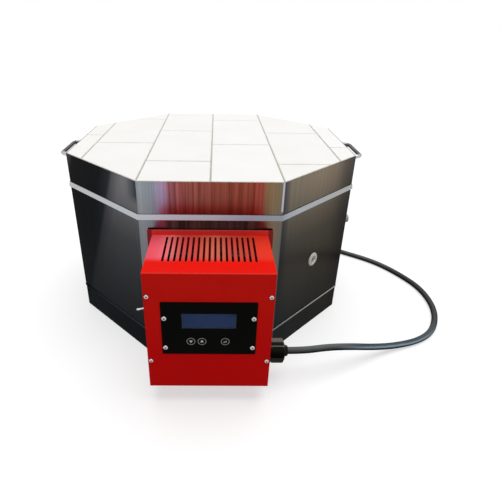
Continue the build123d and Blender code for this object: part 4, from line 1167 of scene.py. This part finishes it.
def ring_place(distance):
    """Where the middle of a row runs, that far from the middle of the front, and its way out."""
    side = 0
    core, run = ring_side(side)
    distance += run / 2
    while distance > run + ring_bend:
        distance -= run + ring_bend
        side += 1
        core, run = ring_side(side)
    facing = radians(45 * side - 90)
    outwards = facing + max(distance - run, 0) / corner_bend
    along = min(distance, run) - run / 2
    return (
        core * cos(facing) - along * sin(facing) + corner_bend * cos(outwards),
        core * sin(facing) + along * cos(facing) + corner_bend * sin(outwards),
        outwards,
    )


def coil_marks(level):
    steps = int((ring_length - 2 * link_side) / coil_pitch * coil_steps)
    marks = []
    for i in range(steps + 1):
        x, y, outwards = ring_place(link_side + i * coil_pitch / coil_steps)
        turn = 2 * pi * i / coil_steps
        reach = coil_radius * cos(turn)
        height = level + coil_radius * sin(turn)
        marks.append((x + reach * cos(outwards), y + reach * sin(outwards), height))
    return marks


def twisted_pair(name, foot, tip):
    """Two wires laid round each other between two places."""
    foot, tip = Vector(foot), Vector(tip)
    along = (tip - foot).normalized()
    sideways = along.orthogonal().normalized()
    upwards = along.cross(sideways)
    steps = round((tip - foot).length / pair_lay * pair_steps)
    strands = []
    for start in (0, pi):
        marks = []
        for i in range(steps + 1):
            turn = start + 2 * pi * i / pair_steps
            round_it = cos(turn) * sideways + sin(turn) * upwards
            marks.append(tuple(foot.lerp(tip, i / steps) + pair_wire * round_it))
        strands.append(wire(name, marks, pair_wire))
    pair = joined(*strands)
    finished(smooth(pair, 60), heating_wire, "kiln", "heating_alloy", "heating_element")


first_coil = wire("heating_coil_1", coil_marks(row_levels[0]), coil_wire)
for coil in repeated(first_coil, "heating_coil", [(0, level) for level in row_levels]):
    finished(smooth(coil, 60), heating_wire, "kiln", "heating_alloy", "heating_element")
for i, side in enumerate((-link_side, link_side, -link_side), 1):
    foot = (side, ring_front, row_levels[i - 1] - link_reach)
    tip = (side, ring_front, row_levels[i] + link_reach)
    twisted_pair(f"heating_link_{i}", foot, tip)
for i, level in enumerate((row_levels[0], row_levels[-1]), 1):
    foot = (link_side, tail_tip, level)
    twisted_pair(f"heating_tail_{i}", foot, (link_side, ring_front + link_reach, level))


# Blind rivets at the back: a low dome with the hole of its pulled stem

rivet_side = 0.009
strip_thickness = 0.001


def rivet_columns(name, heights, body, node):
    rivet = turned(
        f"{name}_1", 24,
        (-2.0, 1.6), (0.0, 1.6), (0.0, 3.0), (0.4, 2.9), (0.8, 2.5), (1.1, 1.8), (1.2, 1.1),
        (1.2, 1.0), (0.5, 0.9),
    )
    laid(smooth(rivet), (-rivet_side, half_across + strip_thickness, heights[0]), (0, 1, 0))
    places = [(x, z) for x in (-rivet_side, rivet_side) for z in heights]
    for rivet in repeated(rivet, name, places):
        finished(rivet, bright_screw, body, "rivet_steel", node)


rivet_columns("casing_rivet", [0.0745, 0.1305, 0.1865, 0.2425], "kiln", "casing_rivets")
rivet_columns("lid_rivet", [0.29325, 0.31925], "lid", "lid_rivets")


# Supply cord: one smooth line from the gland round the right side to the coil behind the kiln

gland_mouth = (0.1275, -0.333, 0.058)
falling_marks = [
    gland_mouth,
    (0.160, -0.333, 0.058), (0.204, -0.319, 0.0535), (0.252, -0.301, 0.040),
    (0.302, -0.280, 0.021), (0.350, -0.262, 0.009),
]
floor_marks = [
    (0.400, -0.245), (0.438, -0.220), (0.463, -0.184), (0.480, -0.142), (0.486, -0.095),
    (0.481, -0.047), (0.462, -0.003), (0.438, 0.038), (0.410, 0.071), (0.377, 0.097),
    (0.345, 0.119), (0.314, 0.148), (0.287, 0.186), (0.266, 0.230), (0.250, 0.275),
    (0.238, 0.319), (0.22138, 0.3587), (0.20138, 0.39336),
]
coil_centre = (0.130, 0.366)
coil_start = 30
coil_turned = 810
coil_outside = 0.0755
coil_tightens = 0.0127
coil_climb = 0.013
climb_start = 315
climb_turn = 180
mark_turn = 15


def coil_mark(turn):
    """A point of the coil: in on the floor, out again on top of the first turns."""
    angle = radians(coil_start + turn)
    radius = coil_outside - coil_tightens * min(turn, coil_turned - turn) / 360
    share = min(max((turn - climb_start) / climb_turn, 0), 1)
    return (
        coil_centre[0] + radius * cos(angle),
        coil_centre[1] + radius * sin(angle),
        cord_radius + coil_climb * share * share * (3 - 2 * share),
    )


cord_marks = falling_marks + [(x, y, cord_radius) for x, y in floor_marks]
cord_marks += [coil_mark(turn) for turn in range(0, coil_turned + 1, mark_turn)]
coil_end = Vector(cord_marks[-1])
plug_heading = Vector((-sin(radians(60)), -cos(radians(60)), 0))
cord_lead = 0.040
cord_marks += [tuple(coil_end + plug_heading * reach) for reach in (cord_lead / 2, cord_lead)]

supply_cord = line(
    "supply_cord", cord_marks, cord_radius, "NURBS", bevel_resolution=5, resolution_u=6
)
cord_spline = supply_cord.data.splines[0]
cord_spline.order_u = 3
cord_spline.use_endpoint_u = True
finished(supply_cord, cord_rubber, "kiln", "cord_rubber", "cord_run", "cord_coil")


# Mains plug: a moulded body with a ribbed boot, thumb grips and two sleeved pins

plug_lift = 0.013
plug_mouth = coil_end + plug_heading * cord_lead + Vector((0, 0, plug_lift))
boot = [(0, 6.4), (0, 8.0)]
for i in range(6):
    foot = 2.8 + 3.4 * i
    rib = 8.0 + 2.0 * foot / 24
    boot += [(foot, rib), (foot, rib - 1.4), (foot + 1.4, rib - 1.4), (foot + 1.4, rib)]
plug_body = turned(
    "plug_body", 64,
    *boot,
    (24.0, 10.0), (26.2, 11.2), (29.0, 14.5), (31.2, 17.3), (33.0, 18.5), (35.2, 19.0),
    (53.0, 19.0), (56.0, 18.5), (59.6, 17.7), (61.2, 17.2), (62.0, 16.0),
)
for side in (-1, 1):
    thumb = turned(f"thumb_{side}", 72, (-12, 30), (12, 30))
    combined(plug_body, laid(thumb, (0, side * 0.0455, 0.0445), (1, 0, 0)), "DIFFERENCE")
    for i in range(4):
        place = (0, side * 0.0160, 0.0385 + 0.004 * i)
        ridge = primitive("cube", "ridge", size=1, scale=(0.018, 0.0022, 0.0012), location=place)
        combined(plug_body, ridge, "UNION")
rounded(plug_body, 0.0004)
laid(smooth(plug_body), plug_mouth, plug_heading)
finished(plug_body, plug_rubber, "kiln", "plug_rubber", "mains_plug")

for i, side in enumerate((-0.0095, 0.0095), 1):
    pin_marks = [(60, 2.0), (70, 2.0), (70, 2.4), (79, 2.4), (80.3, 2.0), (80.9, 1.2)]
    pin = turned(f"plug_pin_{i}", 28, *pin_marks)
    sleeve_marks = [(61.5, 2.1), (61.5, 2.4), (69.9, 2.4), (69.9, 2.1)]
    sleeve = turned(f"pin_sleeve_{i}", 28, *sleeve_marks)
    pair = ((pin, pin_metal, "pin_metal"), (sleeve, plug_rubber, "plug_rubber"))
    for piece, finish, slot in pair:
        laid(smooth(moved(piece, (side, 0, 0))), plug_mouth, plug_heading)
        finished(piece, finish, "kiln", slot, "plug_pins")


# Floor, world and lamps

floor_glow = 0.60
pale_floor = Finish("pale_floor", 0.9, Base_Color=(0.45, 0.45, 0.45, 1), shine=0.0)
glow = pale_floor.add("ShaderNodeEmission")
strength = pale_floor.times(pale_floor.seen_directly(), floor_glow)
pale_floor.join(strength, glow.inputs["Strength"])
both = pale_floor.add("ShaderNodeAddShader")
pale_floor.join(pale_floor.shader.outputs[0], both.inputs[0])
pale_floor.join(glow.outputs[0], both.inputs[1])
surface = pale_floor.tree.nodes["Material Output"].inputs["Surface"]
pale_floor.join(both.outputs[0], surface)

bpy.ops.mesh.primitive_plane_add(size=60)
floor = bpy.context.object
floor.name = "studio_floor"
floor.data.materials.append(pale_floor.material)

# White where it is seen, and dimmer as a light
sky_light = 0.30
bpy.context.scene.world = bpy.data.worlds.new("studio")
sky = Nodes(bpy.context.scene.world)
background = sky.tree.nodes["Background"]
background.inputs["Color"].default_value = (*white, 1)
strength = sky.maths("MULTIPLY_ADD", sky.seen_directly(), 1 - sky_light, sky_light)
sky.join(strength, background.inputs["Strength"])

soft_sun = bpy.data.lights.new("soft_sun", "SUN")
soft_sun.energy = 2.4
soft_sun.angle = radians(55)
added("soft_sun", soft_sun).rotation_euler = (radians(-6), radians(5), 0)
